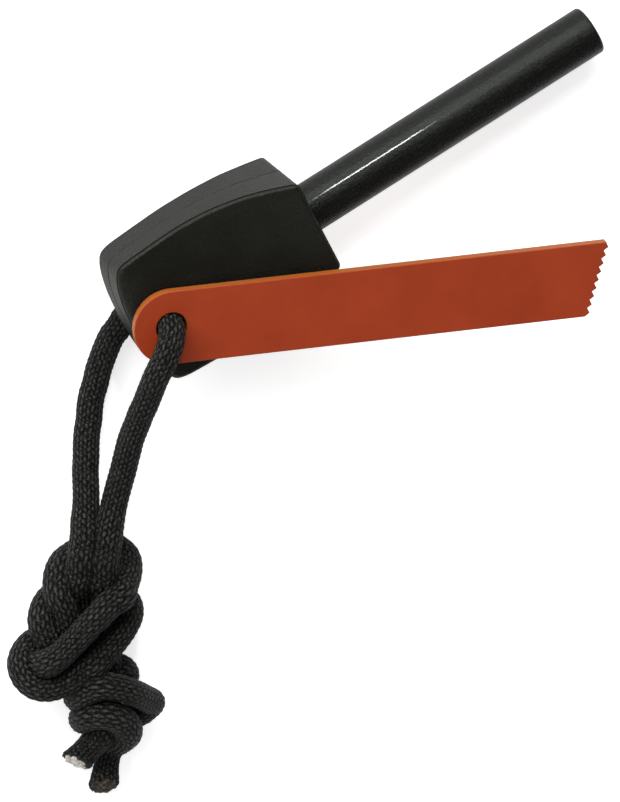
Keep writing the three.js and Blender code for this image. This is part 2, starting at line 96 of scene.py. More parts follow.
class Nodes:
    """A material's node tree, with short ways to add and join nodes."""

    def __init__(self, name: str) -> None:
        """Starts a material with one principled surface.

        Args:
            name: the material's name.
        """
        self.material = bpy.data.materials.new(name)
        self.material.use_nodes = True
        self.tree = self.material.node_tree
        self.surface = self.tree.nodes["Principled BSDF"]

    def add(self, kind: str, inputs: dict | None = None, **settings: object) -> bpy.types.Node:
        """Adds a node.

        Args:
            kind: the node's type, without its ShaderNode prefix.
            inputs: values or sockets for its inputs, by name or place.
            settings: its other properties.

        Returns:
            The new node.
        """
        node = self.tree.nodes.new("ShaderNode" + kind)
        for name, value in settings.items():
            setattr(node, name, value)
        for name, value in (inputs or {}).items():
            self.put(node.inputs[name], value)
        return node

    def put(self, socket: Socket, value: object) -> None:
        """Sets an input to a value, or joins it to another node's output.

        Args:
            socket: the input.
            value: a value, or the other node's output.
        """
        if isinstance(value, Socket):
            self.tree.links.new(value, socket)
        else:
            socket.default_value = value

    def set(self, **values: object) -> None:
        """Sets inputs of the principled surface, with spaces written as underscores."""
        for name, value in values.items():
            self.put(self.surface.inputs[name.replace("_", " ")], value)

    def math(self, operation: str, *values: Socket | float) -> Socket:
        """The result of a sum on one, two or three numbers or sockets."""
        return self.add("Math", dict(enumerate(values)), operation=operation).outputs[0]

    def place(self, stretch: Sequence[float] = (1, 1, 1), turn: Sequence[float] = (0, 0, 0)) -> Socket:
        """Object coordinates, stretched along X, Y and Z and then turned about them by radians."""
        inputs = {"Vector": self.add("TexCoord").outputs["Object"], "Scale": stretch, "Rotation": turn}
        return self.add("Mapping", inputs, vector_type="POINT").outputs[0]

    def noise(self, where: Socket, grain: Grain) -> Socket:
        """The value of a noise at coordinates, from 0 to 1."""
        inputs = {"Vector": where, "Scale": grain.per_metre, "Detail": grain.layers, "Roughness": grain.share}
        return self.add("TexNoise", inputs).outputs[0]

    def ramp(self, value: Socket, *stops: tuple[float, Colour]) -> Socket:
        """Turns a number into a colour.

        Args:
            value: the number's socket.
            stops: places from 0 to 1, and the colour at each.

        Returns:
            The socket of the colour.
        """
        node = self.add("ValToRGB", {0: value})
        band = node.color_ramp.elements
        while len(band) < len(stops):
            band.new(1.0)
        for stop, (at, colour) in zip(band, stops):
            stop.position, stop.color = at, colour
        return node.outputs[0]

    def between(self, value: Socket, low: float, high: float) -> Socket:
        """Takes a number from 0 to 1 to a range."""
        return self.add("MapRange", {"Value": value, "To Min": low, "To Max": high}).outputs[0]

    def bump(
        self, height: Socket, distance: float, strength: float = 1.0, under: Socket | None = None
    ) -> Socket:
        """Turns a height into a surface direction.

        Args:
            height: the height's socket.
            distance: metres that a height of 1 stands for.
            strength: share of the effect.
            under: direction of a coarser bump below it.

        Returns:
            The socket of the direction.
        """
        inputs = {"Height": height, "Distance": distance, "Strength": strength}
        if under is not None:
            inputs["Normal"] = under
        return self.add("Bump", inputs).outputs[0]


def grey(level: float) -> Colour:
    """A plain grey of that level."""
    return (level, level, level, 1.0)


@dataclass(frozen=True)
class MouldedPlastic:
    """Black moulded plastic with a fine satin grain."""

    dark: Colour = (0.0032, 0.0035, 0.0030, 1.0)
    light: Colour = (0.0062, 0.0066, 0.0058, 1.0)
    dark_until: float = 0.3
    light_from: float = 0.75
    patches: Grain = Grain(160.0, 4.0)
    grain: Grain = Grain(2900.0, 2.0, 0.6)
    grain_depth: float = 0.17 * MM
    roughness: Span = (0.37, 0.5)
    gloss: float = 0.28
    gloss_tint: Colour = (0.93, 1.0, 0.8, 1.0)

    def material(self) -> Finish:
        """Builds the finish.

        Returns:
            The material.
        """
        nodes = Nodes("handle_plastic")
        where = nodes.place()
        patches = nodes.noise(where, self.patches)
        nodes.set(
            Base_Color=nodes.ramp(patches, (self.dark_until, self.dark), (self.light_from, self.light)),
            Roughness=nodes.between(patches, *self.roughness),
            Normal=nodes.bump(nodes.noise(where, self.grain), self.grain_depth),
            Specular_IOR_Level=self.gloss,
            Specular_Tint=self.gloss_tint,
            IOR=HARD_IOR,
        )
        return nodes.material


@dataclass(frozen=True)
class Ferrocerium:
    """Dark rod, satin, with fine drawing lines along it under a thin clear film."""

    dip: float
    dark: Colour = (0.0018, 0.0020, 0.0017, 1.0)
    light: Colour = (0.0095, 0.0100, 0.0092, 1.0)
    dark_until: float = 0.38
    light_from: float = 0.66
    drawn_out: float = 0.06
    lines: Grain = Grain(3600.0, 4.0, 0.65)
    broad: Grain = Grain(500.0)
    specks: Grain = Grain(2600.0, 4.0, 0.7)
    line_shade: float = 0.4
    speck_shade: float = 0.6
    broad_height: float = 2.0
    line_depth: float = 0.02 * MM
    speck_depth: float = 0.15 * MM
    speck_strength: float = 0.8
    roughness: Span = (0.16, 0.36)
    gloss: float = 0.17
    gloss_tint: Colour = (0.93, 1.0, 0.9, 1.0)
    film: float = 0.07
    film_roughness: float = 0.03

    def material(self) -> Finish:
        """Builds the finish.

        Returns:
            The material.
        """
        nodes = Nodes("ferrocerium")
        along = nodes.place((self.drawn_out, 1.0, 1.0), (0.0, -self.dip, 0.0))
        lines = nodes.noise(along, self.lines)
        broad = nodes.noise(along, self.broad)
        specks = nodes.noise(nodes.place(), self.specks)
        specked = nodes.math("MULTIPLY", specks, self.speck_shade)
        shade = nodes.math("MULTIPLY_ADD", lines, self.line_shade, specked)
        height = nodes.math("ADD", lines, nodes.math("MULTIPLY", broad, self.broad_height))
        under = nodes.bump(specks, self.speck_depth, self.speck_strength)
        nodes.set(
            Base_Color=nodes.ramp(shade, (self.dark_until, self.dark), (self.light_from, self.light)),
            Roughness=nodes.between(shade, *self.roughness),
            Normal=nodes.bump(height, self.line_depth, under=under),
            Specular_IOR_Level=self.gloss,
            Specular_Tint=self.gloss_tint,
            Coat_Weight=self.film,
            Coat_Roughness=self.film_roughness,
            IOR=HARD_IOR,
        )
        return nodes.material


@dataclass(frozen=True)
class CoatedSteel:
    """Orange red coated steel, satin, yellower and lighter on the plate's edges, which the edge attribute
    marks: partly wear, partly a painted highlight.
    """

    deep: Colour = (0.285, 0.034, 0.008, 1.0)
    pale: Colour = (0.340, 0.043, 0.011, 1.0)
    # The edge colour is partly wear and partly a painted highlight where the edges catch the light
    worn_and_highlit: Colour = (0.36, 0.13, 0.012, 1.0)
    deep_until: float = 0.3
    pale_from: float = 0.7
    cloud: Grain = Grain(90.0, 4.0, 0.6)
    grain: Grain = Grain(6500.0, 2.0)
    grain_height: float = 0.6
    brushing: Grain = Grain(3200.0)
    drawn_out: float = 0.05
    brushing_turn: float = math.radians(25.0)
    depth: float = 0.016 * MM
    roughness: Span = (0.36, 0.5)
    gloss: float = 0.3

    def material(self) -> Finish:
        """Builds the finish.

        Returns:
            The material.
        """
        nodes = Nodes("scraper_coating")
        where = nodes.place()
        cloud = nodes.noise(where, self.cloud)
        brushed = nodes.place((self.drawn_out, 1.0, 1.0), (0.0, 0.0, self.brushing_turn))
        coat = nodes.ramp(cloud, (self.deep_until, self.deep), (self.pale_from, self.pale))
        edge = nodes.add("Attribute", attribute_name="edge").outputs["Fac"]
        grain = nodes.math("MULTIPLY", nodes.noise(where, self.grain), self.grain_height)
        height = nodes.math("ADD", grain, nodes.noise(brushed, self.brushing))
        nodes.set(
            Base_Color=nodes.add("Mix", {0: edge, 6: coat, 7: self.worn_and_highlit}, data_type="RGBA").outputs[2],
            Roughness=nodes.between(cloud, *self.roughness),
            Normal=nodes.bump(height, self.depth),
            Specular_IOR_Level=self.gloss,
            IOR=HARD_IOR,
        )
        return nodes.material


@dataclass(frozen=True)
class BraidedSheath:
    """Black braided nylon: yarns that lie side by side, with painted shade in the grooves between them and a
    painted highlight on their crowns.
    """

    # The darkest colour is painted shade in the grooves and the crown colour a painted highlight, both set by
    # the yarn's height; the yarn colour is the nylon's own
    painted_groove_shade: Colour = (0.0008, 0.0009, 0.0008, 1.0)
    yarn: Colour = (0.0060, 0.0065, 0.0057, 1.0)
    crown: Colour = (0.076, 0.081, 0.072, 1.0)
    painted_groove_shade_until: float = 0.5
    yarn_at: float = 0.72
    filaments: float = 7.0
    filament_shade: float = 0.07
    filament_height: float = 0.35
    tangle: Grain = Grain(9000.0, 2.0)
    tangle_height: float = 1.2
    fuzz: Grain = Grain(3000.0, 4.0, 0.75)
    fuzz_shade: Span = (0.05, 1.75)
    fibre_depth: float = 0.06 * MM
    roughness: Span = (0.24, 0.38)
    gloss: float = 0.12
    ior: float = 1.45

    def material(self) -> Finish:
        """Builds the finish from the braid's UV map and the yarn attribute.

        Returns:
            The material.
        """
        nodes = Nodes("cord_sheath")
        braid = nodes.add("SeparateXYZ", {0: nodes.add("UVMap", uv_map="braid").outputs[0]}).outputs
        lay = nodes.add("Attribute", attribute_name="yarn").outputs["Color"]
        height, rising = nodes.add("SeparateColor", {0: lay}).outputs[:2]
        across = nodes.math("ADD", braid[0], braid[1])
        other = nodes.math("SUBTRACT", braid[0], braid[1])
        chosen = nodes.add("Mix", {0: rising, 2: other, 3: across}, data_type="FLOAT").outputs[0]
        wave = nodes.math("SINE", nodes.math("MULTIPLY", chosen, 2.0 * math.pi * self.filaments))
        tangle = nodes.math("MULTIPLY", nodes.noise(nodes.place(), self.tangle), self.tangle_height)
        fibres = nodes.math("MULTIPLY_ADD", wave, self.filament_height, tangle)
        fuzz = nodes.noise(nodes.place(), self.fuzz)
        woolly = nodes.math("MULTIPLY", height, nodes.between(fuzz, *self.fuzz_shade))
        shade = nodes.math("MULTIPLY_ADD", wave, self.filament_shade, woolly)
        # The yarn's height, with filament lines and fuzz, paints shade into the grooves and a highlight on
        # the crowns
        stops = (self.painted_groove_shade_until, self.painted_groove_shade), (self.yarn_at, self.yarn), (1.0, self.crown)
        nodes.set(
            Base_Color=nodes.ramp(shade, *stops),
            Roughness=nodes.between(fuzz, *self.roughness),
            Normal=nodes.bump(fibres, self.fibre_depth),
            Specular_IOR_Level=self.gloss,
            IOR=self.ior,
        )
        return nodes.material


@dataclass(frozen=True)
class CoreYarn:
    """White core yarns at the cut end, a little soiled."""

    clean: Colour = (0.70, 0.68, 0.63, 1.0)
    soiled: Colour = (0.26, 0.20, 0.13, 1.0)
    soiled_until: float = 0.36
    clean_from: float = 0.52
    soil: Grain = Grain(1300.0, 4.0, 0.7)
    fibre: Grain = Grain(8000.0, 2.0)
    fibre_depth: float = 0.06 * MM
    roughness: Span = (0.7, 0.9)
    glow: float = 0.1
    glow_reach: float = 1.0 * MM

    def material(self) -> Finish:
        """Builds the finish.

        Returns:
            The material.
        """
        nodes = Nodes("cord_core")
        soil = nodes.noise(nodes.place(), self.soil)
        fibre = nodes.noise(nodes.place(), self.fibre)
        nodes.set(
            Base_Color=nodes.ramp(soil, (self.soiled_until, self.soiled), (self.clean_from, self.clean)),
            Roughness=nodes.between(fibre, *self.roughness),
            Normal=nodes.bump(fibre, self.fibre_depth),
            Subsurface_Weight=self.glow,
            Subsurface_Scale=self.glow_reach,
        )
        return nodes.material


@dataclass(frozen=True)
class MeltedNylon:
    """Tan melted bead with scorched patches."""

    scorched: Colour = (0.012, 0.010, 0.007, 1.0)
    tan: Colour = (0.040, 0.032, 0.021, 1.0)
    pale: Colour = (0.20, 0.17, 0.125, 1.0)
    scorched_until: float = 0.42
    tan_at: float = 0.52
    pale_from: float = 0.68
    patches: Grain = Grain(1500.0, 4.0, 0.7)
    pits: Grain = Grain(3500.0)
    pit_depth: float = 0.2 * MM
    roughness: Span = (0.55, 0.85)
    gloss: float = 0.2

    def material(self) -> Finish:
        """Builds the finish.

        Returns:
            The material.
        """
        nodes = Nodes("cord_melt")
        patches = nodes.noise(nodes.place(), self.patches)
        pits = nodes.noise(nodes.place(), self.pits)
        stops = (self.scorched_until, self.scorched), (self.tan_at, self.tan), (self.pale_from, self.pale)
        nodes.set(
            Base_Color=nodes.ramp(patches, *stops),
            Roughness=nodes.between(patches, *self.roughness),
            Normal=nodes.bump(pits, self.pit_depth),
            Specular_IOR_Level=self.gloss,
            IOR=HARD_IOR,
        )
        return nodes.material


# What the pieces share in their making


@dataclass(frozen=True)
class Lie:
    """Where the rod and handle lie: the middle of the front face, on the rod's axis, and its axes."""

    rod_free_length: float = 54.1 * MM

    @property
    def tip(self) -> float:
        """Angle by which the rod dips towards its free end."""
        forward = self._rod_end()[1]
        return math.atan2(-forward.z, forward.x)

    @property
    def matrix(self) -> Matrix:
        """Place of the handle's own frame in the object's frame."""
        end, forward = self._rod_end()
        return Matrix.Translation(end - forward * self.rod_free_length) @ Matrix.Rotation(self.tip, 4, "Y")

    @staticmethod
    def _rod_end() -> tuple[Vector, Vector]:
        """Middle of the rod's end face, and its direction, as the record states them."""
        mount = next(m for m in frame["record"]["mounts"] if m["name"] == "rod_end")
        return Vector(mount["pos_m"]), Vector(mount["axis"]).normalized()


def linked(name: str, data: bpy.types.ID) -> bpy.types.Object:
    """Makes an object at the origin, in the scene.

    Args:
        name: its name.
        data: its mesh, lamp or camera.

    Returns:
        The object.
    """
    made = bpy.data.objects.new(name, data)
    bpy.context.scene.collection.objects.link(made)
    return made


def smoothed(mesh: bpy.types.Mesh, sharp: float) -> None:
    """Shades a mesh smooth but for its edges from a sharp angle in degrees."""
    mesh.shade_smooth()
    mesh.set_sharp_from_angle(angle=math.radians(sharp))


def finished(name: str, bm: Shape, place: Matrix, material: Finish, sharp: float = 30.0) -> Piece:
    """Makes an object at the origin, smooth but for its sharp edges, with its place in its mesh.

    Args:
        name: the piece's name.
        bm: its shape, which is freed.
        place: where its shape goes.
        material: its finish.
        sharp: angle in degrees from which an edge stays sharp.

    Returns:
        The new object.
    """
    mesh = bpy.data.meshes.new(name)
    bmesh.ops.recalc_face_normals(bm, faces=bm.faces)
    bm.transform(place)
    bm.to_mesh(mesh)
    bm.free()
    smoothed(mesh, sharp)
    mesh.materials.append(material)
    return linked(name, mesh)


def put_in(piece: Piece, body: str, slot: str, *nodes: str) -> Piece:
    """Gives a piece its body, and hides the nodes that it replaces.

    Args:
        piece: the piece.
        body: the body that it rides on.
        slot: the record's name of its finish; not used.
        nodes: the nodes that it replaces.

    Returns:
        The piece.
    """
    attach(piece, body)
    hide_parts(*nodes)
    return piece


def report(piece: Piece) -> None:
    """Reports a finished piece."""
    LOG.info("built %s with %d faces", piece.name, len(piece.data.polygons))


def raised(geometry: Sequence) -> list[bmesh.types.BMVert]:
    """The vertices among what an operator has made."""
    return [v for v in geometry if isinstance(v, bmesh.types.BMVert)]


def plate(points: Sequence[Point], height: float) -> Shape:
    """A plate on the plane Z = 0, with the outline that the points give.

    Args:
        points: the outline, counter-clockwise.
        height: its thickness.

    Returns:
        The plate.
    """
    bm = bmesh.new()
    ring = bmesh.ops.create_circle(bm, cap_ends=True, segments=len(points), radius=1.0)["verts"]
    ring.sort(key=lambda v: v.index)
    for vertex, (x, y) in zip(ring, points):
        vertex.co = (x, y, 0.0)
    bm.normal_update()
    top = bmesh.ops.extrude_face_region(bm, geom=list(bm.faces))["geom"]
    bmesh.ops.translate(bm, verts=raised(top), vec=(0.0, 0.0, height))
    return bm


def turned(profile: Sequence[Point], sides: int) -> Shape:
    """A shape turned about Z.

    Args:
        profile: radius and height of each point, from the lower end on the axis to the upper one.
        sides: number of sides.

    Returns:
        The closed shape.
    """
    bm = bmesh.new()
    points = [bm.verts.new((radius, 0.0, height)) for radius, height in profile]
    edges = [bm.edges.new(pair) for pair in zip(points, points[1:])]
    bmesh.ops.spin(
        bm, geom=points + edges, cent=(0, 0, 0), axis=(0, 0, 1), dvec=(0, 0, 0),
        angle=2.0 * math.pi, steps=sides, use_merge=True, use_duplicate=False,
    )
    bmesh.ops.remove_doubles(bm, verts=bm.verts, dist=SAME)
    return bm


def cut_away(piece: Piece, cutters: Sequence[Shape]) -> None:
    """Cuts shapes out of a piece and applies the cuts.

    Args:
        piece: the piece to cut.
        cutters: closed shapes in the piece's own frame, which are freed.
    """
    for bm in cutters:
        mesh = bpy.data.meshes.new("cutter")
        bmesh.ops.recalc_face_normals(bm, faces=bm.faces)
        bm.to_mesh(mesh)
        bm.free()
        tool = linked("cutter", mesh)
        cut = piece.modifiers.new("cut", "BOOLEAN")
        cut.operation, cut.solver, cut.object = "DIFFERENCE", "EXACT", tool
        seen = bpy.context.evaluated_depsgraph_get()
        piece.data = bpy.data.meshes.new_from_object(piece.evaluated_get(seen))
        piece.modifiers.clear()
        bpy.data.objects.remove(tool)


def move_to(piece: Piece, place: Matrix, sharp: float) -> None:
    """Moves a cut piece to its place, and lets its large faces set the shading, so that flat ones look flat.

    Args:
        piece: the piece.
        place: where its mesh goes.
        sharp: angle in degrees from which an edge stays sharp.
    """
    piece.data.transform(place)
    smoothed(piece.data, sharp)
    modifier = piece.modifiers.new("shading", "WEIGHTED_NORMAL")
    modifier.keep_sharp = True
    modifier.weight = FLATNESS


def coordinates(mesh: bpy.types.Mesh) -> np.ndarray:
    """Reads where a mesh's vertices are.

    Args:
        mesh: the mesh.

    Returns:
        The places, one a row.
    """
    flat = np.zeros(len(mesh.vertices) * 3)
    mesh.vertices.foreach_get("co", flat)
    return flat.reshape(-1, 3)


def eased(share: np.ndarray) -> np.ndarray:
    """Eases a share from 0 to 1 at both ends."""
    return share * share * (3 - 2 * share)


def fading(distance: np.ndarray, run: float) -> np.ndarray:
    """A share that falls from 1 to 0 over a run, and stays 0 past it."""
    return np.clip(1.0 - distance / run, 0.0, 1.0)


def level(face: bmesh.types.BMFace, height: float) -> None:
    """Puts a face's vertices at a height."""
    for vertex in face.verts:
        vertex.co.z = height


def share_at(shares: Sequence[Point], at: float) -> float:
    """Reads a smooth curve through a table of shares.

    Args:
        shares: pairs of share along and share out.
        at: the share along.

    Returns:
        The share out.
    """
    last = len(shares) - 1
    k = next((i for i in range(1, last) if shares[i][0] >= at), last)
    near, far = (
        (shares[b][1] - shares[a][1]) / (shares[b][0] - shares[a][0])
        for a, b in ((max(k - 2, 0), k), (k - 1, min(k + 1, last)))
    )
    span = shares[k][0] - shares[k - 1][0]
    t = (at - shares[k - 1][0]) / span
    s = 1.0 - t
    ends = s * s * (1 + 2 * t) * shares[k - 1][1] + t * t * (1 + 2 * s) * shares[k][1]
    return ends + s * s * t * span * near - t * t * s * span * far


class SmoothLine:
    """A smooth curve through points, with the same rule as the solids' source."""

    def __init__(self, points: np.ndarray, fineness: int = 40) -> None:
        """Takes the points and measures the curve.

        Args:
            points: the points, one a row.
            fineness: samples to each span for measuring its length.
        """
        ends = [2 * points[0] - points[1], 2 * points[-1] - points[-2]]
        padded = np.vstack([ends[0], points, ends[1]])
        steps = np.sqrt(np.linalg.norm(np.diff(padded, axis=0), axis=1))[:, None]
        before, along, after = steps[:-2], steps[1:-1], steps[2:]
        p0, p1, p2, p3 = padded[:-3], padded[1:-2], padded[2:-1], padded[3:]
        t1 = ((p1 - p0) / before - (p2 - p0) / (before + along) + (p2 - p1) / along) * along
        t2 = ((p2 - p1) / along - (p3 - p1) / (along + after) + (p3 - p2) / after) * along
        self.parts = (p1, t1, -3 * p1 + 3 * p2 - 2 * t1 - t2, 2 * p1 - 2 * p2 + t1 + t2)
        self.places = np.linspace(0.0, len(points) - 1.0, fineness * len(points) + 1)
        spans = np.linalg.norm(np.diff(self.at(self.places), axis=0), axis=1)
        self.lengths = np.concatenate([[0.0], np.cumsum(spans)])

    def at(self, places: np.ndarray) -> np.ndarray:
        """Finds points of the curve.

        Args:
            places: where along it, counted in spans.

        Returns:
            The points, one a row.
        """
        k = np.minimum(places.astype(int), len(self.parts[0]) - 1)
        t = (places - k)[:, None]
        a, b, c, d = (part[k] for part in self.parts)
        return a + t * (b + t * (c + t * d))

    def spaced(self, step: float) -> np.ndarray:
        """Evenly spaced points, about a step apart."""
        wanted = np.linspace(0.0, self.lengths[-1], round(self.lengths[-1] / step) + 1)
        return self.at(np.interp(wanted, self.lengths, self.places))


# The handle and rod


@dataclass(frozen=True)
class Handle:
    """The two moulded halves, with the sizes of the solids' source but finer edges and a finer seam."""

    lie: Lie
    length: float = 33.0 * MM
    width: float = 23.32 * MM
    front_height: float = 15.64 * MM
    corner_radius: float = 0.9 * MM
    fillet: float = 0.55 * MM
    rim_step: float = 0.13 * MM
    seam_gap: float = 0.12 * MM
    seam_bevel: float = 0.1 * MM
    hole_diameter: float = 7.0 * MM
    hole_from_butt: float = 5.0 * MM
    hole_lip: float = 0.8 * MM
    lip_bend_share: float = 0.3
    seat_radius: float = 4.06 * MM
    seat_depth: float = 20.3 * MM
    seat_mouth: float = 0.25 * MM
    flank_steps: int = 6
    corner_steps: int = 6
    fillet_steps: int = 6
    bore_sides: int = 64
    sharp: float = 28.0
    plan_shares: tuple[Point, ...] = (
        (0.0, 0.698), (0.081, 0.772), (0.163, 0.84), (0.248, 0.9), (0.339, 0.945), (0.431, 0.978),
        (0.529, 0.996), (0.611, 1.0), (0.713, 0.989), (0.804, 0.975), (0.879, 0.96), (0.93, 0.922),
        (0.956, 0.832), (0.973, 0.712), (0.985, 0.566), (0.9955, 0.343), (1.0, 0.0),
    )
    height_shares: tuple[Point, ...] = (
        (0.0, 1.0), (0.152, 0.854), (0.303, 0.746), (0.454, 0.67), (0.606, 0.632), (0.727, 0.623),
        (0.848, 0.62), (0.909, 0.602), (0.955, 0.557), (0.99, 0.49), (1.0, 0.47),
    )
    crest_share: float = 0.854

    @property
    def hole_x(self) -> float:
        """Place of the lanyard hole behind the front face."""
        return self.hole_from_butt - self.length

    @property
    def crest(self) -> Point:
        """Place and half height of the waist that the scraper rests on."""
        x = -self.crest_share * self.length
        return x, self.height_at(x)

    def height_at(self, x: float) -> float:
        """Half height of the handle at a place along it."""
        share = min(max(-x / self.length, 0.0), 1.0)
        return self.front_height / 2 * share_at(self.height_shares, share)

    def corner(self) -> list[Point]:
        """Rounds the corner between the front face and the flank.

        Returns:
            Points from the front face to the flank, with the flank's own last.
        """
        r = self.corner_radius
        front = self.width / 2 * self.plan_shares[0][1]
        after = self.width / 2 * share_at(self.plan_shares, r / self.length)
        turns = [i / self.corner_steps for i in range(self.corner_steps + 1)]
        return [
            (-r * t * t, (1 - t) ** 2 * (front - r) + 2 * t * (1 - t) * front + t * t * after) for t in turns
        ]

    def outline(self) -> list[Point]:
        """Works out the plan.

        Returns:
            Its points, counter-clockwise from the middle of the front face.
        """
        corner = self.corner()
        shares = self.plan_shares[1:]
        side = np.array([corner[-1]] + [(-a * self.length, o * self.width / 2) for a, o in shares])
        padded = np.vstack([side[:1], side, side[-1:]])
        flank = []
        for k in range(len(side) - 1):
            p0, p1, p2, p3 = padded[k:k + 4]
            v0, v1 = (p2 - p0) / 2, (p3 - p1) / 2
            for i in range(1, self.flank_steps + 1):
                t = i / self.flank_steps
                cubic = (2 * p1 - 2 * p2 + v0 + v1) * t**3 + (-3 * p1 + 3 * p2 - 2 * v0 - v1) * t**2
                flank.append(tuple(cubic + v0 * t + p1))
        front = self.width / 2 * self.plan_shares[0][1]
        one_side = [(0.0, front / 3), (0.0, front * 2 / 3)] + corner + flank[:-1]
        mirrored = [(x, -y) for x, y in reversed(one_side)]
        return [(0.0, 0.0)] + one_side + [(-self.length, 0.0)] + mirrored

    @staticmethod
    def step_in(bm: Shape, face: bmesh.types.BMFace, width: float, height: float) -> None:
        """Insets a face, which takes its own vertices along by a width, and puts them at a height."""
        bmesh.ops.inset_region(bm, faces=[face], thickness=width, use_even_offset=True, use_boundary=True)
        level(face, height)

    def shell(self) -> Shape:
        """Shapes one half, with the seam on the plane Z = 0 and its rims rounded.

        A height from 1 down stands for the same drop below the top's curve until the last step.

        Returns:
            The half, without its seat and hole.
        """
        bm = plate(self.outline(), 1.0)
        ends = [f for f in bm.faces if len(f.verts) > 4]
        sole, crown = sorted(ends, key=lambda f: f.calc_center_median().z)
        level(crown, 1.0 - self.fillet)
        self.step_in(bm, crown, self.rim_step, 1.0 - self.fillet)
        before = 0.0
        for i in range(1, self.fillet_steps + 1):
            turn = i / self.fillet_steps * math.pi / 2
            reach = self.fillet * (1 - math.cos(turn))
            self.step_in(bm, crown, reach - before, 1.0 - self.fillet * (1 - math.sin(turn)))
            before = reach
        level(sole, self.seam_bevel)
        self.step_in(bm, sole, self.seam_bevel, 0.0)
        cuts = sorted({round(v.co.x, 7) for v in crown.verts})
        strips = [crown, *crown.edges, *crown.verts]
        for x in cuts[1:-1]:
            strips = bmesh.ops.bisect_plane(
                bm, geom=strips, dist=SAME / 10, plane_co=(x, 0, 0), plane_no=(1, 0, 0)
            )["geom"]
        for vertex in bm.verts:
            is_above = vertex.co.z > 0.5
            vertex.co.z += self.height_at(vertex.co.x) - 1.0 if is_above else self.seam_gap / 2
        return bm

    def half(self, which: Half, material: Finish) -> Piece:
        """Builds one moulded half, with the seat of the rod and the lanyard hole cut in it.

        Args:
            which: the upper or the lower half.
            material: its finish.

        Returns:
            The piece.
        """
        name = f"handle_{which.name.lower()}"
        piece = finished(name, self.shell(), Matrix.Identity(4), material, self.sharp)
        cut_away(piece, [self.seat(), self.hole()])
        move_to(piece, self.lie.matrix @ Matrix.Rotation(which.value, 4, "X"), self.sharp)
        return put_in(piece, "handle", "handle_plastic", f"{name}_half")

    def seat(self) -> Shape:
        """Makes the cutter of the rod's seat, open at the front face with a small chamfer.

        Returns:
            The cutter.
        """
        radius, mouth = self.seat_radius, self.seat_mouth
        profile = [
            (0.0, -self.seat_depth), (radius, -self.seat_depth), (radius, -mouth),
            (radius + 2 * mouth, mouth), (0.0, mouth),
        ]
        bm = turned(profile, self.bore_sides)
        bmesh.ops.transform(bm, matrix=Matrix.Rotation(math.pi / 2, 4, "Y"), verts=bm.verts)
        return bm

    def hole(self) -> Shape:
        """Makes the cutter of the lanyard hole, wider at its mouth.

        Returns:
            The cutter.
        """
        radius, lip = self.hole_diameter / 2, self.hole_lip
        mouth, bend = self.height_at(self.hole_x), self.lip_bend_share * self.hole_lip
        profile = [
            (0.0, -mouth), (radius, -mouth), (radius, mouth - lip), (radius + bend, mouth - bend),
            (radius + 2 * lip, mouth + lip), (0.0, mouth + lip),
        ]
        bm = turned(profile, self.bore_sides)
        bmesh.ops.translate(bm, verts=bm.verts, vec=(self.hole_x, 0.0, 0.0))
        return bm

    def build(self) -> None:
        """Builds both halves."""
        plastic = MouldedPlastic().material()
        for which in Half:
            report(self.half(which, plastic))


@dataclass(frozen=True)
class Rod:
    """The ferrocerium rod with its nearly flat, slightly domed end."""

    lie: Lie
    diameter: float = 8.0 * MM
    seat_depth: float = 20.0 * MM
    tip_rounding: float = 0.55 * MM
    tip_rise: float = 0.06 * MM
    back_chamfer: float = 0.6 * MM
    sides: int = 96
    rings: int = 40
    rounding_steps: int = 5
    dome_steps: int = 8
    sharp: float = 50.0

    def profile(self) -> list[Point]:
        """Works out the rod's turned profile, with the front face of the handle at height 0.

        Returns:
            Radius and height of each point, from the back end to the free one.
        """
        radius, end, rounding = self.diameter / 2, self.lie.rod_free_length, self.tip_rounding
        back, quarter = -self.seat_depth, math.pi / 2
        side = [(radius, float(z)) for z in np.linspace(back + self.back_chamfer, end - rounding, self.rings)]
        turns = [i / self.rounding_steps * quarter for i in range(1, self.rounding_steps + 1)]
        corner = [(radius - rounding * (1 - math.cos(t)), end - rounding * (1 - math.sin(t))) for t in turns]
        shares = [i / self.dome_steps for i in range(1, self.dome_steps + 1)]
        flat = radius - rounding
        dome = [(flat * (1 - share), end + self.tip_rise * math.sin(share * quarter)) for share in shares]
        return [(0.0, back), (radius - self.back_chamfer, back), *side, *corner, *dome]

    def build(self) -> None:
        """Builds the rod."""
        place = self.lie.matrix @ Matrix.Rotation(math.pi / 2, 4, "Y")
        material = Ferrocerium(self.lie.tip).material()
        piece = finished("rod", turned(self.profile(), self.sides), place, material, self.sharp)
        report(put_in(piece, "handle", "ferrocerium", "ferro_rod"))


# The scraper


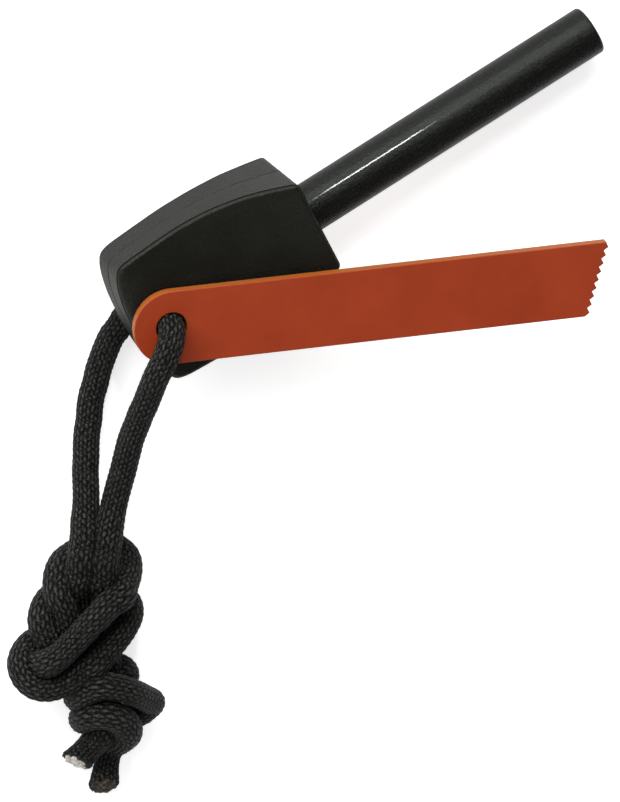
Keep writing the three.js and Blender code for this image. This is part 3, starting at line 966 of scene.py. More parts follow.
@dataclass(frozen=True)
class Scraper:
    """The toothed steel plate that turns on the lanyard."""

    handle: Handle
    width: float = 12.15 * MM
    thickness: float = 1.6 * MM
    reach: float = 70.55 * MM
    hole_diameter: float = 5.0 * MM
    lift: float = 0.3 * MM
    cord_radius: float = 2.0 * MM
    cord_fit: float = 0.2 * MM
    end_slant: float = math.radians(16.4)
    swing: float = math.radians(-25.15)
    tooth_count: int = 9
    tooth_pitch: float = 1.39 * MM
    tooth_depth: float = 0.6 * MM
    edge_round: float = 0.16 * MM
    edge_steps: int = 3
    round_end_steps: int = 64
    hole_sides: int = 72
    overcut: float = 0.4 * MM
    # Share of the edge colour: partly wear, partly a painted highlight
    worn_and_highlit_share: float = 0.55
    sharp: float = 30.0

    @property
    def lean(self) -> float:
        """Angle at which the plate lies on the front edge and the waist."""
        x, height = self.handle.crest
        return math.atan((self.handle.front_height / 2 - height) / -x)

    @property
    def underside(self) -> float:
        """Height of the plate's underside over the rod's axis, at the hole."""
        x, height = self.handle.crest
        return height - (x - self.handle.hole_x) * math.tan(self.lean) + self.lift

    @property
    def cord_y(self) -> float:
        """Place of the cord across the handle's hole."""
        return self.cord_radius + self.cord_fit - self.handle.hole_diameter / 2

    @property
    def hole_y(self) -> float:
        """Place of the plate's hole across the handle."""
        return self.cord_y + self.cord_radius + self.cord_fit - self.hole_diameter / 2

    def outline(self) -> list[Point]:
        """Works out the outline about the centre of the hole.

        Returns:
            Its points, counter-clockwise.
        """
        half = self.width / 2
        along = np.array([-math.sin(self.end_slant), -math.cos(self.end_slant)])
        outward = np.array([-along[1], along[0]])
        middle = np.array([self.reach - half * math.tan(self.end_slant), 0.0])
        turns = [math.pi / 2 + i / self.round_end_steps * math.pi for i in range(self.round_end_steps + 1)]
        points = [(half * math.cos(t), half * math.sin(t)) for t in turns]
        points.append((self.reach - self.width * math.tan(self.end_slant), -half))
        for i in reversed(range(self.tooth_count)):
            across = (i - (self.tooth_count - 1) / 2) * self.tooth_pitch
            if i < self.tooth_count - 1:
                points.append(tuple(middle + along * (across + self.tooth_pitch / 2)))
            points.append(tuple(middle + along * across + outward * self.tooth_depth))
        points.append((self.reach, half))
        return points

    def build(self) -> None:
        """Builds the plate with rounded edges and its hole."""
        bm = plate(self.outline(), self.thickness)
        rims = [e for e in bm.edges if abs(e.verts[0].co.z - e.verts[1].co.z) < SAME]
        bmesh.ops.bevel(
            bm, geom=rims, offset=self.edge_round, offset_type="OFFSET", segments=self.edge_steps,
            profile=0.5, affect="EDGES", material=-1, clamp_overlap=True,
        )
        piece = finished("scraper_plate", bm, Matrix.Identity(4), CoatedSteel().material(), self.sharp)
        cut_away(piece, [self.hole()])
        self.mark_edges(piece.data)
        mount = Matrix.Translation((self.handle.hole_x, self.hole_y, self.underside))
        turn = Matrix.Rotation(-self.lean, 4, "Y") @ Matrix.Rotation(self.swing, 4, "Z")
        move_to(piece, self.handle.lie.matrix @ mount @ turn, self.sharp)
        report(put_in(piece, "scraper", "scraper_coating", "scraper"))

    def hole(self) -> Shape:
        """Makes the cutter of the hole, with its rims a little opened.

        Returns:
            The cutter.
        """
        radius, rim, over, top = self.hole_diameter / 2, self.edge_round, self.overcut, self.thickness
        profile = [
            (0.0, -over), (radius + over + rim, -over), (radius, rim), (radius, top - rim),
            (radius + over + rim, top + over), (0.0, top + over),
        ]
        return turned(profile, self.hole_sides)

    def mark_edges(self, mesh: bpy.types.Mesh) -> None:
        """Marks all of the plate below the rim of its upper face, where the coating shows partly as worn and
        partly with a painted highlight.

        Args:
            mesh: the plate, lying on Z = 0.
        """
        side_top = self.thickness - self.edge_round + SAME
        worn_and_highlit = (coordinates(mesh)[:, 2] <= side_top).astype(float) * self.worn_and_highlit_share
        mesh.attributes.new("edge", "FLOAT", "POINT").data.foreach_set("value", worn_and_highlit)


# The lanyard


@dataclass(frozen=True)
class Settling:
    """A stage of settling: its passes, the rounds in each, and the shares of smoothing and pull back."""

    passes: int
    rounds: int
    smoothing: float
    pull: float


@dataclass(frozen=True)
class LaidCord:
    """The whole cord's rings: centres, places along it, directions across, and room all round."""

    line: np.ndarray
    distance: np.ndarray
    sides: np.ndarray
    ups: np.ndarray
    room: np.ndarray
    crowded: np.ndarray


@dataclass(frozen=True)
class Lanyard:
    """One length of braided cord: through both holes, a doubled overhand knot and a lower knot."""

    scraper: Scraper
    step: float = 2.0 * MM
    table_lift: float = 0.1 * MM
    self_gap: float = -0.5 * MM
    mouth_bend: float = 3.6 * MM
    arch_bend: float = 4.3 * MM
    arch_sink: float = 1.2 * MM
    arch_run: float = 3.6 * MM
    bend_steps: int = 4
    under_heading: float = math.radians(200.0)
    arch_heading: float = math.radians(-143.0)
    chord_two_share: float = 0.915
    chord_three_share: float = 0.817
    near_steps: int = 4
    fineness: int = 20
    carriers: int = 20
    outer_lead: float = 20.0 * MM
    inner_lead: float = 23.5 * MM
    yarn_crown: float = 0.12 * MM
    yarn_lift: float = 0.15 * MM
    sides: int = 100
    ring_step: float = 0.24 * MM
    swelling: float = 0.32 * MM
    squeeze: float = 0.02 * MM
    reach_share: float = 1.5
    own_share: float = 1.25
    crowded_share: float = 1.1
    crowded_span_share: float = 0.2
    crowded_rings: int = 15
    ring_skip: int = 3
    swell_run: float = 3.4 * MM
    neck_at: float = 5.0 * MM
    neck_run: float = 4.0 * MM
    rim_run: float = 0.45 * MM
    rim_share: float = 0.14
    slant: float = math.radians(32.0)
    slant_run: float = 4.0 * MM
    ragged: float = 0.1 * MM
    ragged_share: float = 1 / 6
    ragged_waves: tuple[Point, ...] = ((9, 1.0), (17, 0.0))
    overhang: float = 0.72 * MM
    heading_rings: int = 5
    stages: tuple[Settling, ...] = (
        Settling(250, 6, 0.1, 0.03), Settling(60, 10, 0.02, 0.0), Settling(1, 400, 0.0, 0.0),
    )
    # Points from the foot of the handle's front face, as in the solids' source
    outer_strand: tuple[Place, ...] = (
        (-35.7, -4.9, 2.0), (-38.3, -7.1, 2.0), (-40.6, -9.6, 2.0), (-42.7, -12.1, 2.2), (-44.6, -14.7, 2.6),
        (-46.4, -17.1, 3.4), (-48.9, -20.7, 5.0), (-50.9, -23.6, 6.8), (-53.4, -27.2, 8.6),
        (-55.8, -31.1, 9.6), (-57.5, -35.4, 8.6), (-58.5, -39.6, 6.2), (-60.0, -43.4, 3.6),
        (-62.3, -45.2, 2.4), (-64.6, -44.9, 2.2), (-66.1, -44.4, 2.6), (-67.8, -43.7, 3.5),
        (-69.9, -43.8, 5.2), (-71.9, -44.3, 6.5), (-72.5, -46.1, 7.6), (-70.7, -48.2, 8.4),
        (-67.2, -48.9, 9.0), (-63.0, -48.2, 9.4), (-58.8, -47.2, 9.4), (-55.5, -46.2, 8.3),
        (-53.1, -45.3, 5.9), (-52.8, -44.3, 3.4), (-54.0, -41.9, 2.2), (-56.1, -40.0, 2.3),
        (-59.2, -38.5, 2.6), (-62.1, -37.3, 3.8), (-64.8, -37.5, 5.4), (-66.3, -38.8, 6.6),
        (-66.8, -41.5, 7.0), (-66.5, -44.8, 6.6), (-65.5, -48.8, 5.6), (-63.7, -52.9, 6.0),
        (-63.3, -55.9, 6.9), (-63.9, -58.6, 6.9), (-65.7, -61.2, 5.8), (-68.0, -62.6, 5.2),
        (-70.7, -63.4, 5.0),
    )
    inner_strand: tuple[Place, ...] = (
        (-36.6, -9.6, 17.4), (-39.0, -12.9, 15.2), (-41.3, -16.1, 13.4), (-44.4, -20.9, 11.4),
        (-47.6, -25.4, 10.0), (-50.2, -28.5, 10.2), (-53.0, -32.0, 10.4), (-55.6, -36.2, 9.4),
        (-57.3, -40.0, 7.2), (-58.6, -43.9, 4.6), (-60.4, -46.9, 3.0), (-63.0, -48.3, 2.2),
        (-65.6, -47.9, 2.0), (-67.5, -46.9, 2.3), (-69.0, -45.5, 4.3), (-69.6, -44.6, 7.2),
        (-69.0, -44.1, 9.4), (-67.4, -43.5, 10.8), (-64.5, -42.4, 11.6), (-60.7, -40.7, 12.4),
        (-56.8, -39.7, 12.0), (-53.1, -39.2, 10.0), (-50.3, -38.3, 7.0), (-49.7, -36.6, 4.4),
        (-51.1, -35.1, 3.2), (-53.5, -33.7, 2.8), (-56.2, -33.1, 3.2), (-58.7, -32.7, 4.6),
        (-60.8, -33.6, 6.7), (-62.1, -35.8, 7.8), (-62.5, -38.8, 7.9), (-63.4, -42.4, 7.2),
        (-63.1, -46.0, 6.6), (-62.0, -49.3, 6.2), (-60.8, -51.5, 5.3), (-59.5, -53.0, 4.7),
        (-58.5, -54.8, 4.1), (-58.8, -57.3, 2.5), (-61.0, -57.9, 2.0), (-63.3, -57.3, 2.0),
        (-65.1, -56.2, 2.8), (-65.9, -53.2, 5.6), (-64.8, -51.4, 9.5), (-62.8, -51.8, 11.0),
        (-60.0, -55.0, 10.4), (-58.1, -58.7, 7.7), (-57.3, -62.0, 4.6), (-59.1, -63.5, 2.5),
        (-62.0, -62.8, 2.0), (-65.3, -61.5, 2.0), (-67.0, -59.0, 4.7), (-66.9, -56.3, 8.6),
        (-65.1, -56.2, 10.4), (-63.2, -58.9, 9.3), (-62.7, -62.0, 8.3), (-63.9, -64.3, 5.2),
        (-65.1, -65.1, 2.3), (-66.4, -66.4, 2.0), (-67.6, -68.0, 2.2), (-68.5, -69.1, 2.9),
    )

    @property
    def diameter(self) -> float:
        """The cord's diameter."""
        return 2 * self.scraper.cord_radius

    @staticmethod
    def bent(start: Vector, heading: float, bend: float, turn: float, lift: int) -> Vector:
        """A point of a bend that leaves a place upwards (lift 1) or downwards (-1), turning to a heading."""
        out, up = bend * (1 - math.cos(turn)), lift * bend * math.sin(turn)
        return start + Vector((math.cos(heading) * out, math.sin(heading) * out, up))

    def held_points(self) -> np.ndarray:
        """Works out the stretch that is held: under the butt, up both holes, and the arch over them.

        Returns:
            Its points, one a row.
        """
        handle, scraper = self.scraper.handle, self.scraper
        lie = handle.lie.matrix
        lowest = lie @ Vector((handle.hole_x, scraper.cord_y, -handle.crest[1]))
        highest = lie @ Vector((handle.hole_x, scraper.cord_y, scraper.underside + scraper.thickness))
        upward = (highest - lowest).normalized()
        rise = scraper.cord_radius + self.table_lift + self.mouth_bend - lowest.z
        bend_top = lowest + upward * (rise / upward.z)
        arch_foot = highest - upward * self.arch_sink
        turns = [i / self.bend_steps * math.pi / 2 for i in range(self.bend_steps + 1)]
        below = reversed(turns[1:])
        points = [self.bent(bend_top, self.under_heading, self.mouth_bend, t, -1) for t in below]
        points += [bend_top, bend_top.lerp(arch_foot, 1 / 3), bend_top.lerp(arch_foot, 2 / 3)]
        points += [self.bent(arch_foot, self.arch_heading, self.arch_bend, t, 1) for t in turns]
        run = Vector((math.cos(self.arch_heading), math.sin(self.arch_heading), 0.0)) * self.arch_run
        return np.array([*points, points[-1] + run])

    def laid(self) -> tuple[np.ndarray, np.ndarray]:
        """Lays the whole cord, before it settles.

        Returns:
            Its points, and which of them are held.
        """
        foot = self.scraper.handle.lie.matrix.translation.xy
        held = self.held_points()
        strands = self.outer_strand, self.inner_strand
        outer, inner = (np.array(strand) * MM + [foot.x, foot.y, 0.0] for strand in strands)
        first = SmoothLine(np.vstack([outer[::-1], held[:1]])).spaced(self.step)
        middle = SmoothLine(held).spaced(self.step)
        last = SmoothLine(np.vstack([held[-1:], inner])).spaced(self.step)
        points = np.vstack([first, middle[1:], last[1:]])
        places = np.arange(len(points))
        is_held = (places >= len(first) - 1) & (places < len(first) + len(middle) - 1)
        return points, is_held

    def give_way(self, points: np.ndarray, is_held: np.ndarray, near: tuple[np.ndarray, np.ndarray]) -> None:
        """Takes one step of settling: what is too close, or bent too tightly, gives way.

        Args:
            points: the cord's points, which move.
            is_held: which of them stay.
            near: pairs further along the cord that may meet.
        """
        count = len(points)
        starts = [np.arange(count - k) for k in (1, 2, 3)] + [near[0]]
        ends = [np.arange(k, count) for k in (1, 2, 3)] + [near[1]]
        reaches = (
            self.step, 2 * self.step * self.chord_two_share, 3 * self.step * self.chord_three_share,
            self.diameter + self.self_gap,
        )
        i, j = np.concatenate(starts), np.concatenate(ends)
        wanted = np.concatenate([np.full(len(s), r) for s, r in zip(starts, reaches)])
        gap = points[j] - points[i]
        apart = np.linalg.norm(gap, axis=1)
        active = (np.arange(len(i)) < count - 1) | (apart < wanted)
        active &= ~(is_held[i] & is_held[j])
        i, j, gap = i[active], j[active], gap[active]
        gap *= ((apart[active] - wanted[active]) / apart[active] / 2)[:, None]
        moves, counts = np.zeros_like(points), np.zeros(count)
        np.add.at(moves, i, gap * (1 + is_held[j])[:, None])
        np.add.at(moves, j, -gap * (1 + is_held[i])[:, None])
        np.add.at(counts, i, 1)
        np.add.at(counts, j, 1)
        free = ~is_held
        points[free] += (moves * 0.5 / np.maximum(1, counts / 2)[:, None])[free]
        points[free, 2] = np.maximum(points[free, 2], self.diameter / 2 + self.table_lift)

    def settled(self) -> np.ndarray:
        """Lets the cord settle into its knots.

        Returns:
            Its points, one a row.
        """
        points, is_held = self.laid()
        aims = points.copy()
        first, second = np.triu_indices(len(points), self.near_steps)
        free = ~is_held[1:-1]
        for stage in self.stages:
            for _ in range(stage.passes):
                middle = (points[:-2] + points[2:]) / 2
                moved = points[1:-1] + (middle - points[1:-1]) * stage.smoothing
                moved += (aims[1:-1] - moved) * stage.pull
                points[1:-1][free] = moved[free]
                apart = np.linalg.norm(points[second] - points[first], axis=1)
                close = apart < self.diameter + self.self_gap + self.step
                for _ in range(stage.rounds):
                    self.give_way(points, is_held, (first[close], second[close]))
        return points

    def reached_out(self, line: np.ndarray) -> np.ndarray:
        """Carries the sheath on at both ends, over the cores that the solids show there.

        Args:
            line: the centreline between the solid sheath's ends.

        Returns:
            The longer centreline.
        """
        steps = np.arange(1, round(self.overhang / self.ring_step) + 1)[:, None]
        before, after = line[0] - line[1], line[-1] - line[-2]
        return np.vstack([(line[0] + before * steps)[::-1], line, line[-1] + after * steps])

    def rings(self, line: np.ndarray) -> tuple[np.ndarray, np.ndarray]:
        """Carries two directions across the cord along it without twist.

        Args:
            line: the fine centreline.

        Returns:
            The two directions, one row a point.
        """
        along = np.gradient(line, axis=0)
        along /= np.linalg.norm(along, axis=1)[:, None]
        side = np.cross(along[0], (0.0, 0.0, 1.0))
        sides = np.zeros_like(line)
        for k, direction in enumerate(along):
            side = side - direction * (side @ direction)
            side /= np.linalg.norm(side)
            sides[k] = side
        return sides, np.cross(along, sides)

    def room(self, line: np.ndarray, frames: tuple[np.ndarray, np.ndarray]) -> tuple[np.ndarray, np.ndarray]:
        """Shares the space between strands that press on each other, and flattens them on the table.

        Args:
            line: the fine centreline of the whole cord.
            frames: the two directions across at each point.

        Returns:
            The largest radius all round each ring, and how crowded each ring is, from 0 to 1.
        """
        turns = np.linspace(0.0, 2.0 * math.pi, self.sides + 1)[:, None]
        across = frames[0][:, None] * np.cos(turns) + frames[1][:, None] * np.sin(turns)
        room = line[:, 2:] / np.maximum(-across[:, :, 2], NOT_ZERO)
        nearest = np.full(len(line), 2 * self.diameter)
        places = np.arange(len(line))
        for k in places[::self.ring_skip]:
            gap = line[k] - line
            apart = np.linalg.norm(gap, axis=1)
            is_other = np.abs(places - k) * self.ring_step > self.own_share * self.diameter
            near = (apart < self.reach_share * self.diameter) & is_other
            facing = np.einsum("nsk,nk->ns", across[near], gap[near])
            half_way = (apart[near] ** 2 / 2)[:, None] / np.maximum(facing, NOT_ZERO)
            room[near] = np.minimum(room[near], half_way - self.squeeze)
            nearest[near] = np.minimum(nearest[near], apart[near])
        short = (self.crowded_share * self.diameter - nearest) / (self.crowded_span_share * self.diameter)
        evened = np.ones(self.crowded_rings) / self.crowded_rings
        return room, np.convolve(np.clip(short, 0.0, 1.0), evened, "same")

    def ridge(self, across: np.ndarray, passed: np.ndarray) -> np.ndarray:
        """Height of one family of yarns, which passes over two yarns of the other and under two.

        Args:
            across: yarns counted across the family.
            passed: yarns of the other family that it has passed.

        Returns:
            The height over the sheath's middle.
        """
        crown = 1.0 - (2.0 * (across - np.floor(across)) - 1.0) ** 2
        weave = np.cos((passed + np.floor(across) + 0.5) * math.pi / 2)
        return self.yarn_crown * np.sqrt(np.maximum(crown, 0.0)) + self.yarn_lift * weave

    def braid(self, around: np.ndarray, along: np.ndarray) -> tuple[np.ndarray, np.ndarray]:
        """Works out the braid's surface, with one family of yarns over the other in turn.

        Args:
            around: turns round the cord.
            along: leads along the cord.

        Returns:
            Height over the sheath's middle, and 1 where the rising yarn is on top.
        """
        rising, falling = self.carriers * (around + along), self.carriers * (around - along)
        # The half yarns put each family on top where the other is below
        over = self.ridge(rising, falling - 0.5)
        under = self.ridge(falling, rising + 1.5)
        return np.maximum(over, under), (over > under).astype(float)

    def profile(self, to_end: np.ndarray, end: CordEnd) -> np.ndarray:
        """Radius of the sheath's middle, by the distance to its free end.

        Args:
            to_end: metres to the free end.
            end: how the free end is finished.

        Returns:
            The radius at each place.
        """
        swell, slim = end.value
        swelling = swell * fading(to_end, self.swell_run) ** 2
        neck = slim * eased(fading(np.abs(to_end - self.neck_at), self.neck_run))
        rim = self.rim_share * fading(to_end, self.rim_run) ** 2
        return (self.diameter / 2 - self.yarn_crown) * (1.0 + swelling - neck - rim)

    def end_frame(self, path: np.ndarray) -> Matrix:
        """Place of a free end, with Z outward and Y up, the side that its slanted face looks to.

        Args:
            path: the leg's centreline, the free end last.

        Returns:
            The place.
        """
        outward = Vector(path[-1] - path[-1 - self.heading_rings]).normalized()
        lean = (Vector((0.0, 0.0, 1.0)) - outward * outward.z).normalized()
        turn = Matrix((lean.cross(outward), lean, outward)).transposed().to_4x4()
        return Matrix.Translation(Vector(path[-1])) @ turn

    def slanted(self, offset: np.ndarray, angle: np.ndarray, to_end: np.ndarray, place: Matrix) -> np.ndarray:
        """Slants a free end of the sheath and frays its rim.

        Args:
            offset: each point's place from the centreline.
            angle: its angle round the cord.
            to_end: metres from its ring to the free end.
            place: the free end's place, with Z outward.

        Returns:
            How far each point moves.
        """
        lean, outward = np.array(place)[:3, 1:3].T
        waves = sum(np.sin(count * angle + phase) for count, phase in self.ragged_waves)
        frayed = self.ragged * waves * fading(to_end, self.slant_run * self.ragged_share)
        slope = math.tan(self.slant) * eased(fading(to_end, self.slant_run))
        return (frayed - offset @ lean * slope)[:, None] * outward

    def blank(self, name: str, count: int) -> tuple[bpy.types.Mesh, np.ndarray, np.ndarray]:
        """Makes a flat grid with a UV map, to be wrapped round a leg.

        Args:
            name: the mesh's name.
            count: number of the leg's rings.

        Returns:
            The mesh, and the ring and the turns round the cord of each of its points.
        """
        bm = bmesh.new()
        bm.loops.layers.uv.new("braid")
        bmesh.ops.create_grid(bm, x_segments=count - 1, y_segments=self.sides, size=0.5, calc_uvs=True)
        mesh = bpy.data.meshes.new(name)
        bm.to_mesh(mesh)
        bm.free()
        shares = coordinates(mesh)[:, :2] + 0.5
        return mesh, np.rint(shares[:, 0] * (count - 1)).astype(int), shares[:, 1]

    def mark_yarns(
        self, mesh: bpy.types.Mesh, height: np.ndarray, rising: np.ndarray, turns: np.ndarray
    ) -> None:
        """Gives the sheath what its finish reads.

        Args:
            mesh: the sheath.
            height: each point's height over the sheath's middle.
            rising: 1 where the rising yarn is on top.
            turns: each point's turns round the cord and leads along it.
        """
        # The yarn's height, which the finish turns into painted shade in the grooves and a painted highlight
        # on the crowns
        shade = (height + self.yarn_lift) / (self.yarn_crown + 2 * self.yarn_lift)
        colours = np.column_stack([shade, rising, np.zeros_like(shade), np.ones_like(shade)])
        mesh.attributes.new("yarn", "FLOAT_COLOR", "POINT").data.foreach_set("color", colours.ravel())
        corners = np.zeros(len(mesh.loops), dtype=np.int32)
        mesh.loops.foreach_get("vertex_index", corners)
        mesh.uv_layers["braid"].data.foreach_set("uv", (turns[corners] * self.carriers).ravel())

    def leg(
        self, name: str, run: slice, cord: LaidCord, end: CordEnd, lead: float, material: Finish
    ) -> Piece:
        """Builds the sheath of one leg, from the middle of the handle's hole to its free end.

        Args:
            name: the piece's name.
            run: the leg's part of the cord's rings, the free end last.
            cord: the whole cord's rings.
            end: how the free end is finished.
            lead: metres in which its yarns go once round.
            material: its finish.

        Returns:
            The piece.
        """
        fine, distance = cord.line[run], np.abs(cord.distance[run] - cord.distance[run][0])
        mesh, ring, around = self.blank(name, len(fine))
        height, rising = self.braid(around, distance[ring] / lead)
        to_end = (len(fine) - 1 - np.arange(len(fine))) * self.ring_step
        radius = (self.profile(to_end, end) + self.swelling * cord.crowded[run])[ring] + height
        radius = np.minimum(radius, cord.room[run][ring, np.rint(around * self.sides).astype(int)])
        angle = around * 2 * math.pi
        across = cord.sides[run][ring] * np.cos(angle)[:, None] + cord.ups[run][ring] * np.sin(angle)[:, None]
        offset = across * radius[:, None]
        moved = self.slanted(offset, angle, to_end[ring], self.end_frame(fine))
        mesh.vertices.foreach_set("co", (fine[ring] + offset + moved).ravel())
        self.mark_yarns(mesh, height, rising, np.column_stack([around, distance[ring] / lead]))
        bm = bmesh.new()
        bm.from_mesh(mesh)
        bpy.data.meshes.remove(mesh)
        bmesh.ops.remove_doubles(bm, verts=bm.verts, dist=10 * SAME)
        bmesh.ops.holes_fill(bm, edges=[e for e in bm.edges if e.is_boundary], sides=0)
        return finished(name, bm, Matrix.Identity(4), material, NEVER_SHARP)

    def tip(self, end: CordEnd, place: Matrix) -> Piece:
        """Builds what shows at a free end of the cord.

        Args:
            end: how the end is finished.
            place: where it ends, with Z outward.

        Returns:
            The piece.
        """
        shear = Matrix.Identity(4)
        shear[2][1] = -math.tan(self.slant)
        maker = CutCore() if end is CordEnd.CUT else MeltedBead()
        return maker.build(place @ shear)

    def build(self) -> None:
        line = self.reached_out(SmoothLine(self.settled(), self.fineness).spaced(self.ring_step))
        spans = np.linalg.norm(np.diff(line, axis=0), axis=1)
        frames = self.rings(line)
        cord = LaidCord(line, np.concatenate([[0.0], np.cumsum(spans)]), *frames, *self.room(line, frames))
        bore = self.scraper.handle.lie.matrix @ Vector((self.scraper.handle.hole_x, self.scraper.cord_y, 0.0))
        middle = int(np.argmin(np.linalg.norm(line - np.array(bore), axis=1)))
        sheath = BraidedSheath().material()
        for name, run, end, lead in (
            ("lanyard_outer_leg", slice(middle, None, -1), CordEnd.CUT, self.outer_lead),
            ("lanyard_inner_leg", slice(middle, None), CordEnd.MELTED, self.inner_lead),
        ):
            path = line[run]
            leg = self.leg(name, run, cord, end, lead, sheath)
            put_in(leg, "lanyard", "cord_sheath", "lanyard_cord")
            tip = self.tip(end, self.end_frame(path))
            report(leg)
            report(tip)


@dataclass(frozen=True)
class CutCore:
    """Seven white yarns that stand a little out of the cut sheath."""

    radius: float = 2.0 * MM
    length: float = 0.4 * MM
    inside: float = 1.5 * MM
    outer_yarns: int = 6
    first_turn: float = 0.3
    middle_share: float = 1.05
    middle_height_share: float = 0.9
    middle_phase: float = 0.4
    packing_share: float = 0.95
    least_height_share: float = 0.65
    height_spread_share: float = 0.5
    phase_spread: float = 6.0
    plies: int = 3
    ply_depth: float = 0.14
    twist: float = 0.16
    steps: int = 12
    sides: int = 18
    end_share: float = 0.82
    sharp: float = 60.0

    def yarn(self, bm: Shape, x: float, y: float, radius: float, top: float, phase: float) -> None:
        """Adds one twisted yarn of three plies.

        Args:
            bm: the mesh that it joins.
            x: its place across.
            y: its place across, the other way.
            radius: its radius.
            top: height of its end.
            phase: turn of its plies at the foot.
        """
        foot = bmesh.ops.create_circle(bm, cap_ends=True, segments=self.sides, radius=radius)["verts"]
        face = foot[0].link_faces[0]
        for vertex in foot:
            turn = math.atan2(vertex.co.y, vertex.co.x)
            vertex.co.xy *= 1.0 - self.ply_depth + self.ply_depth * math.cos(self.plies * (turn - phase))
        bmesh.ops.translate(bm, verts=foot, vec=(x, y, -self.inside))
        rise = (top + self.inside) / self.steps
        for step in range(self.steps):
            out = bmesh.ops.extrude_face_region(bm, geom=[face])["geom"]
            ring = raised(out)
            if step and face.is_valid:
                bm.faces.remove(face)
            face = next(f for f in out if isinstance(f, bmesh.types.BMFace))
            centre = Matrix.Translation((x, y, ring[0].co.z))
            shrink = Matrix.Scale(self.end_share if step == self.steps - 1 else 1.0, 4)
            turned_in = centre @ Matrix.Rotation(self.twist, 4, "Z") @ shrink @ centre.inverted()
            bmesh.ops.transform(bm, matrix=turned_in, verts=ring)
            bmesh.ops.translate(bm, verts=ring, vec=(0.0, 0.0, rise))

    def build(self, place: Matrix) -> Piece:
        """Builds the yarns.

        Args:
            place: where the cord ends, with Z outward.

        Returns:
            The piece.
        """
        bm = bmesh.new()
        dice = np.random.default_rng(7)
        small = self.radius / 3
        self.yarn(
            bm, 0.0, 0.0, small * self.middle_share, self.length * self.middle_height_share, self.middle_phase
        )
        for i in range(self.outer_yarns):
            turn = i / self.outer_yarns * 2 * math.pi + self.first_turn
            out = 2 * small * self.packing_share
            top = self.length * (self.least_height_share + self.height_spread_share * dice.random())
            phase = dice.random() * self.phase_spread
            self.yarn(bm, out * math.cos(turn), out * math.sin(turn), small, top, phase)
        piece = finished("cut_core_yarns", bm, place, CoreYarn().material(), self.sharp)
        return put_in(piece, "lanyard", "cord_core", "cord_cut_core")


@dataclass(frozen=True)
class MeltedBead:
    """The lumpy skin of melted core that seals the other end."""

    radius: float = 2.02 * MM
    height: float = 0.42 * MM
    inside: float = 0.8 * MM
    lump_share: float = 0.3
    rim_waves: tuple[tuple[int, float, float], ...] = ((7, 0.05, 1.0), (13, 0.03, 0.0))
    softening: float = 0.5
    fineness: int = 6

    @staticmethod
    def lump(x: float, y: float) -> float:
        """Height of the skin's lumps at a place across the bead: large waves, and smaller ones over them."""
        large = math.sin(5.1 * x + 1.7) * math.sin(4.3 * y + 0.4)
        return large + 0.6 * math.sin(11 * y - 7 * x + 2)

    def build(self, place: Matrix) -> Piece:
        """Builds the skin.

        Args:
            place: where the cord ends, with Z outward.

        Returns:
            The piece.
        """
        bm = bmesh.new()
        bmesh.ops.create_icosphere(bm, subdivisions=self.fineness, radius=1.0)
        for vertex in bm.verts:
            x, y, z = vertex.co
            turn = math.atan2(y, x)
            rim = 1 + sum(share * math.sin(count * turn + phase) for count, share, phase in self.rim_waves)
            skin = math.sqrt(max(z, 0.0)) * self.height * (1 + self.lump_share * self.lump(x, y))
            vertex.co = (x * self.radius * rim, y * self.radius * rim, skin if z > 0 else z * self.inside)
        bmesh.ops.smooth_vert(
            bm, verts=bm.verts, factor=self.softening, use_axis_x=True, use_axis_y=True, use_axis_z=True
        )
        piece = finished("melted_bead", bm, place, MeltedNylon().material(), NEVER_SHARP)
        return put_in(piece, "lanyard", "cord_melt", "cord_melted_core")


# The studio


@dataclass(frozen=True)
class Lamp:
    """A rectangular soft light: what it looks at, its way from there, its watts, size and roll."""

    name: str
    middle: Vector
    direction: Vector
    power: float
    size: tuple[float, float]
    roll: float = 0.0

    def hang(self) -> None:
        """Hangs the light."""
        data = bpy.data.lights.new(self.name, "AREA")
        data.shape, data.energy = "RECTANGLE", self.power
        data.size, data.size_y = self.size
        facing = self.direction.to_track_quat("Z", "Y").to_matrix().to_4x4()
        place = Matrix.Translation(self.middle + self.direction)
        linked(self.name, data).matrix_world = place @ facing @ Matrix.Rotation(self.roll, 4, "Z")


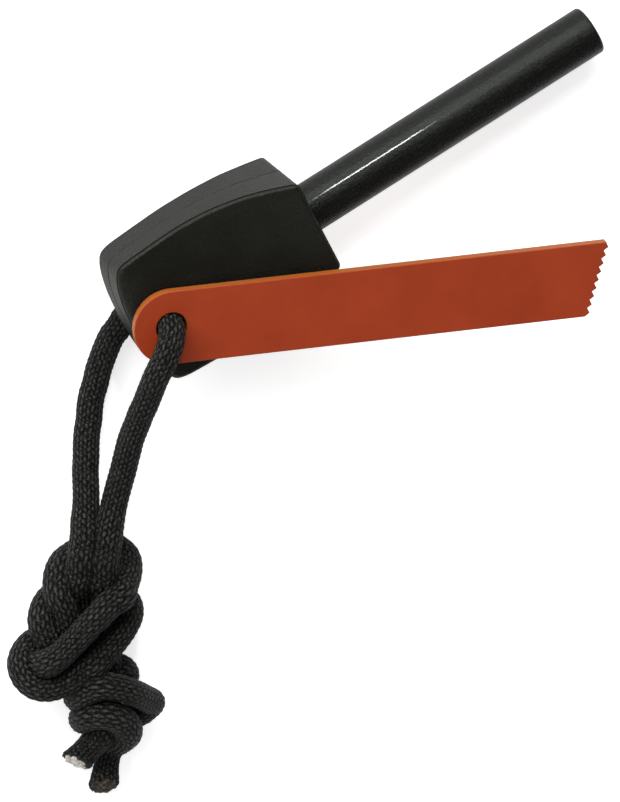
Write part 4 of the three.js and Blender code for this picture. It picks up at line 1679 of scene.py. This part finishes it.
@dataclass(frozen=True)
class Studio:
    """Camera, floor and lights: a large one low behind, a weak fill, and a strip that the rod mirrors."""

    lie: Lie
    right: Vector = Vector((0.85542, -0.41804, 0.30576))
    upward: Vector = Vector((0.50796, 0.79242, -0.3377))
    toward: Vector = Vector((-0.10112, 0.44419, 0.89021))
    aim_right: float = 1.10 * MM
    aim_up: float = -29.56 * MM
    distance: float = 3.0
    seen_height: float = 125.1 * MM
    sensor: float = 36.0
    far: float = 100.0
    floor_radius: float = 12.0
    floor_sides: int = 64
    floor_levels: Span = (0.86, 0.9)
    floor_cloud: Grain = Grain(3.0, 2.0)
    floor_roughness: float = 0.9
    floor_glow: float = 0.66
    floor_mirrored: float = 0.12
    surround: float = 0.2
    lamps: tuple[Lamp, ...] = (
        Lamp("key", Vector((-0.02, -0.02, 0.005)), Vector((-0.1, 0.99, 0.56)), 21.5, (1.7, 0.9)),
        Lamp("fill", Vector((-0.02, -0.02, 0.005)), Vector((-0.75, -0.8, 0.4)), 4.5, (0.9, 0.9)),
        Lamp(
            "strip", Vector((0.0032, 0.0144, 0.0099)), Vector((0.2152, 0.7295, 0.6493)) * 1.1, 3.0,
            (0.024, 0.1), math.radians(13.5),
        ),
    )

    def camera(self) -> None:
        """Places the camera at the photograph's angle, far off with a long lens."""
        data = bpy.data.cameras.new("camera")
        data.sensor_width = self.sensor
        data.lens = self.sensor * self.distance / self.seen_height
        data.clip_end = self.far
        made = linked("camera", data)
        target = self.lie.matrix.translation + self.right * self.aim_right + self.upward * self.aim_up
        turn = Matrix((self.right, self.upward, self.toward)).transposed().to_4x4()
        made.matrix_world = Matrix.Translation(target + self.toward * self.distance) @ turn
        bpy.context.scene.camera = made

    def floor(self) -> None:
        """Lays a wide white floor that shows white and keeps the object's shadow."""
        bm = bmesh.new()
        bmesh.ops.create_circle(bm, cap_ends=True, segments=self.floor_sides, radius=self.floor_radius)
        nodes = Nodes("floor_white")
        cloud = nodes.noise(nodes.place(), self.floor_cloud)
        low, high = self.floor_levels
        nodes.set(
            Base_Color=nodes.ramp(cloud, (0.0, grey(low)), (1.0, grey(high))),
            Roughness=self.floor_roughness,
            Emission_Color=grey(1.0),
            Emission_Strength=self.seen_strength(nodes),
        )
        piece = finished("floor", bm, Matrix.Identity(4), nodes.material)

    def seen_strength(self, nodes: Nodes) -> Socket:
        """Light of the floor that only the camera, and what mirrors the floor, sees.

        Args:
            nodes: the tree that gets it.

        Returns:
            The strength's socket.
        """
        path = nodes.add("LightPath").outputs
        gloss = nodes.math("MAXIMUM", path["Is Glossy Ray"], path["Is Transmission Ray"])
        mirrored = nodes.math("MULTIPLY", gloss, self.floor_mirrored)
        return nodes.math("MULTIPLY_ADD", path["Is Camera Ray"], self.floor_glow, mirrored)

    def world(self) -> None:
        """Sets a soft dim surround, white where it is seen."""
        world = bpy.data.worlds.new("studio")
        world.use_nodes = True
        bpy.context.scene.world = world
        tree = world.node_tree
        path = tree.nodes.new("ShaderNodeLightPath")
        strength = tree.nodes.new("ShaderNodeMapRange")
        strength.inputs["To Min"].default_value = self.surround
        strength.inputs["To Max"].default_value = 1.0
        tree.links.new(path.outputs["Is Camera Ray"], strength.inputs["Value"])
        tree.links.new(strength.outputs[0], tree.nodes["Background"].inputs["Strength"])
        tree.nodes["Background"].inputs["Color"].default_value = grey(1.0)

    def lights(self) -> None:
        """Hangs the lights, and shows their colours as they are."""
        self.world()
        for lamp in self.lamps:
            lamp.hang()
        bpy.context.scene.view_settings.view_transform = "Standard"


def main() -> None:
    """Builds the camera and the cord first, then the rest of the object and the studio."""
    logging.basicConfig(level=logging.INFO, format="%(name)s: %(message)s")
    lie = Lie()
    studio = Studio(lie)
    studio.camera()
    handle = Handle(lie)
    scraper = Scraper(handle)
    Lanyard(scraper).build()
    handle.build()
    Rod(lie).build()
    scraper.build()
    studio.floor()
    studio.lights()


if __name__ == "__main__":
    main()
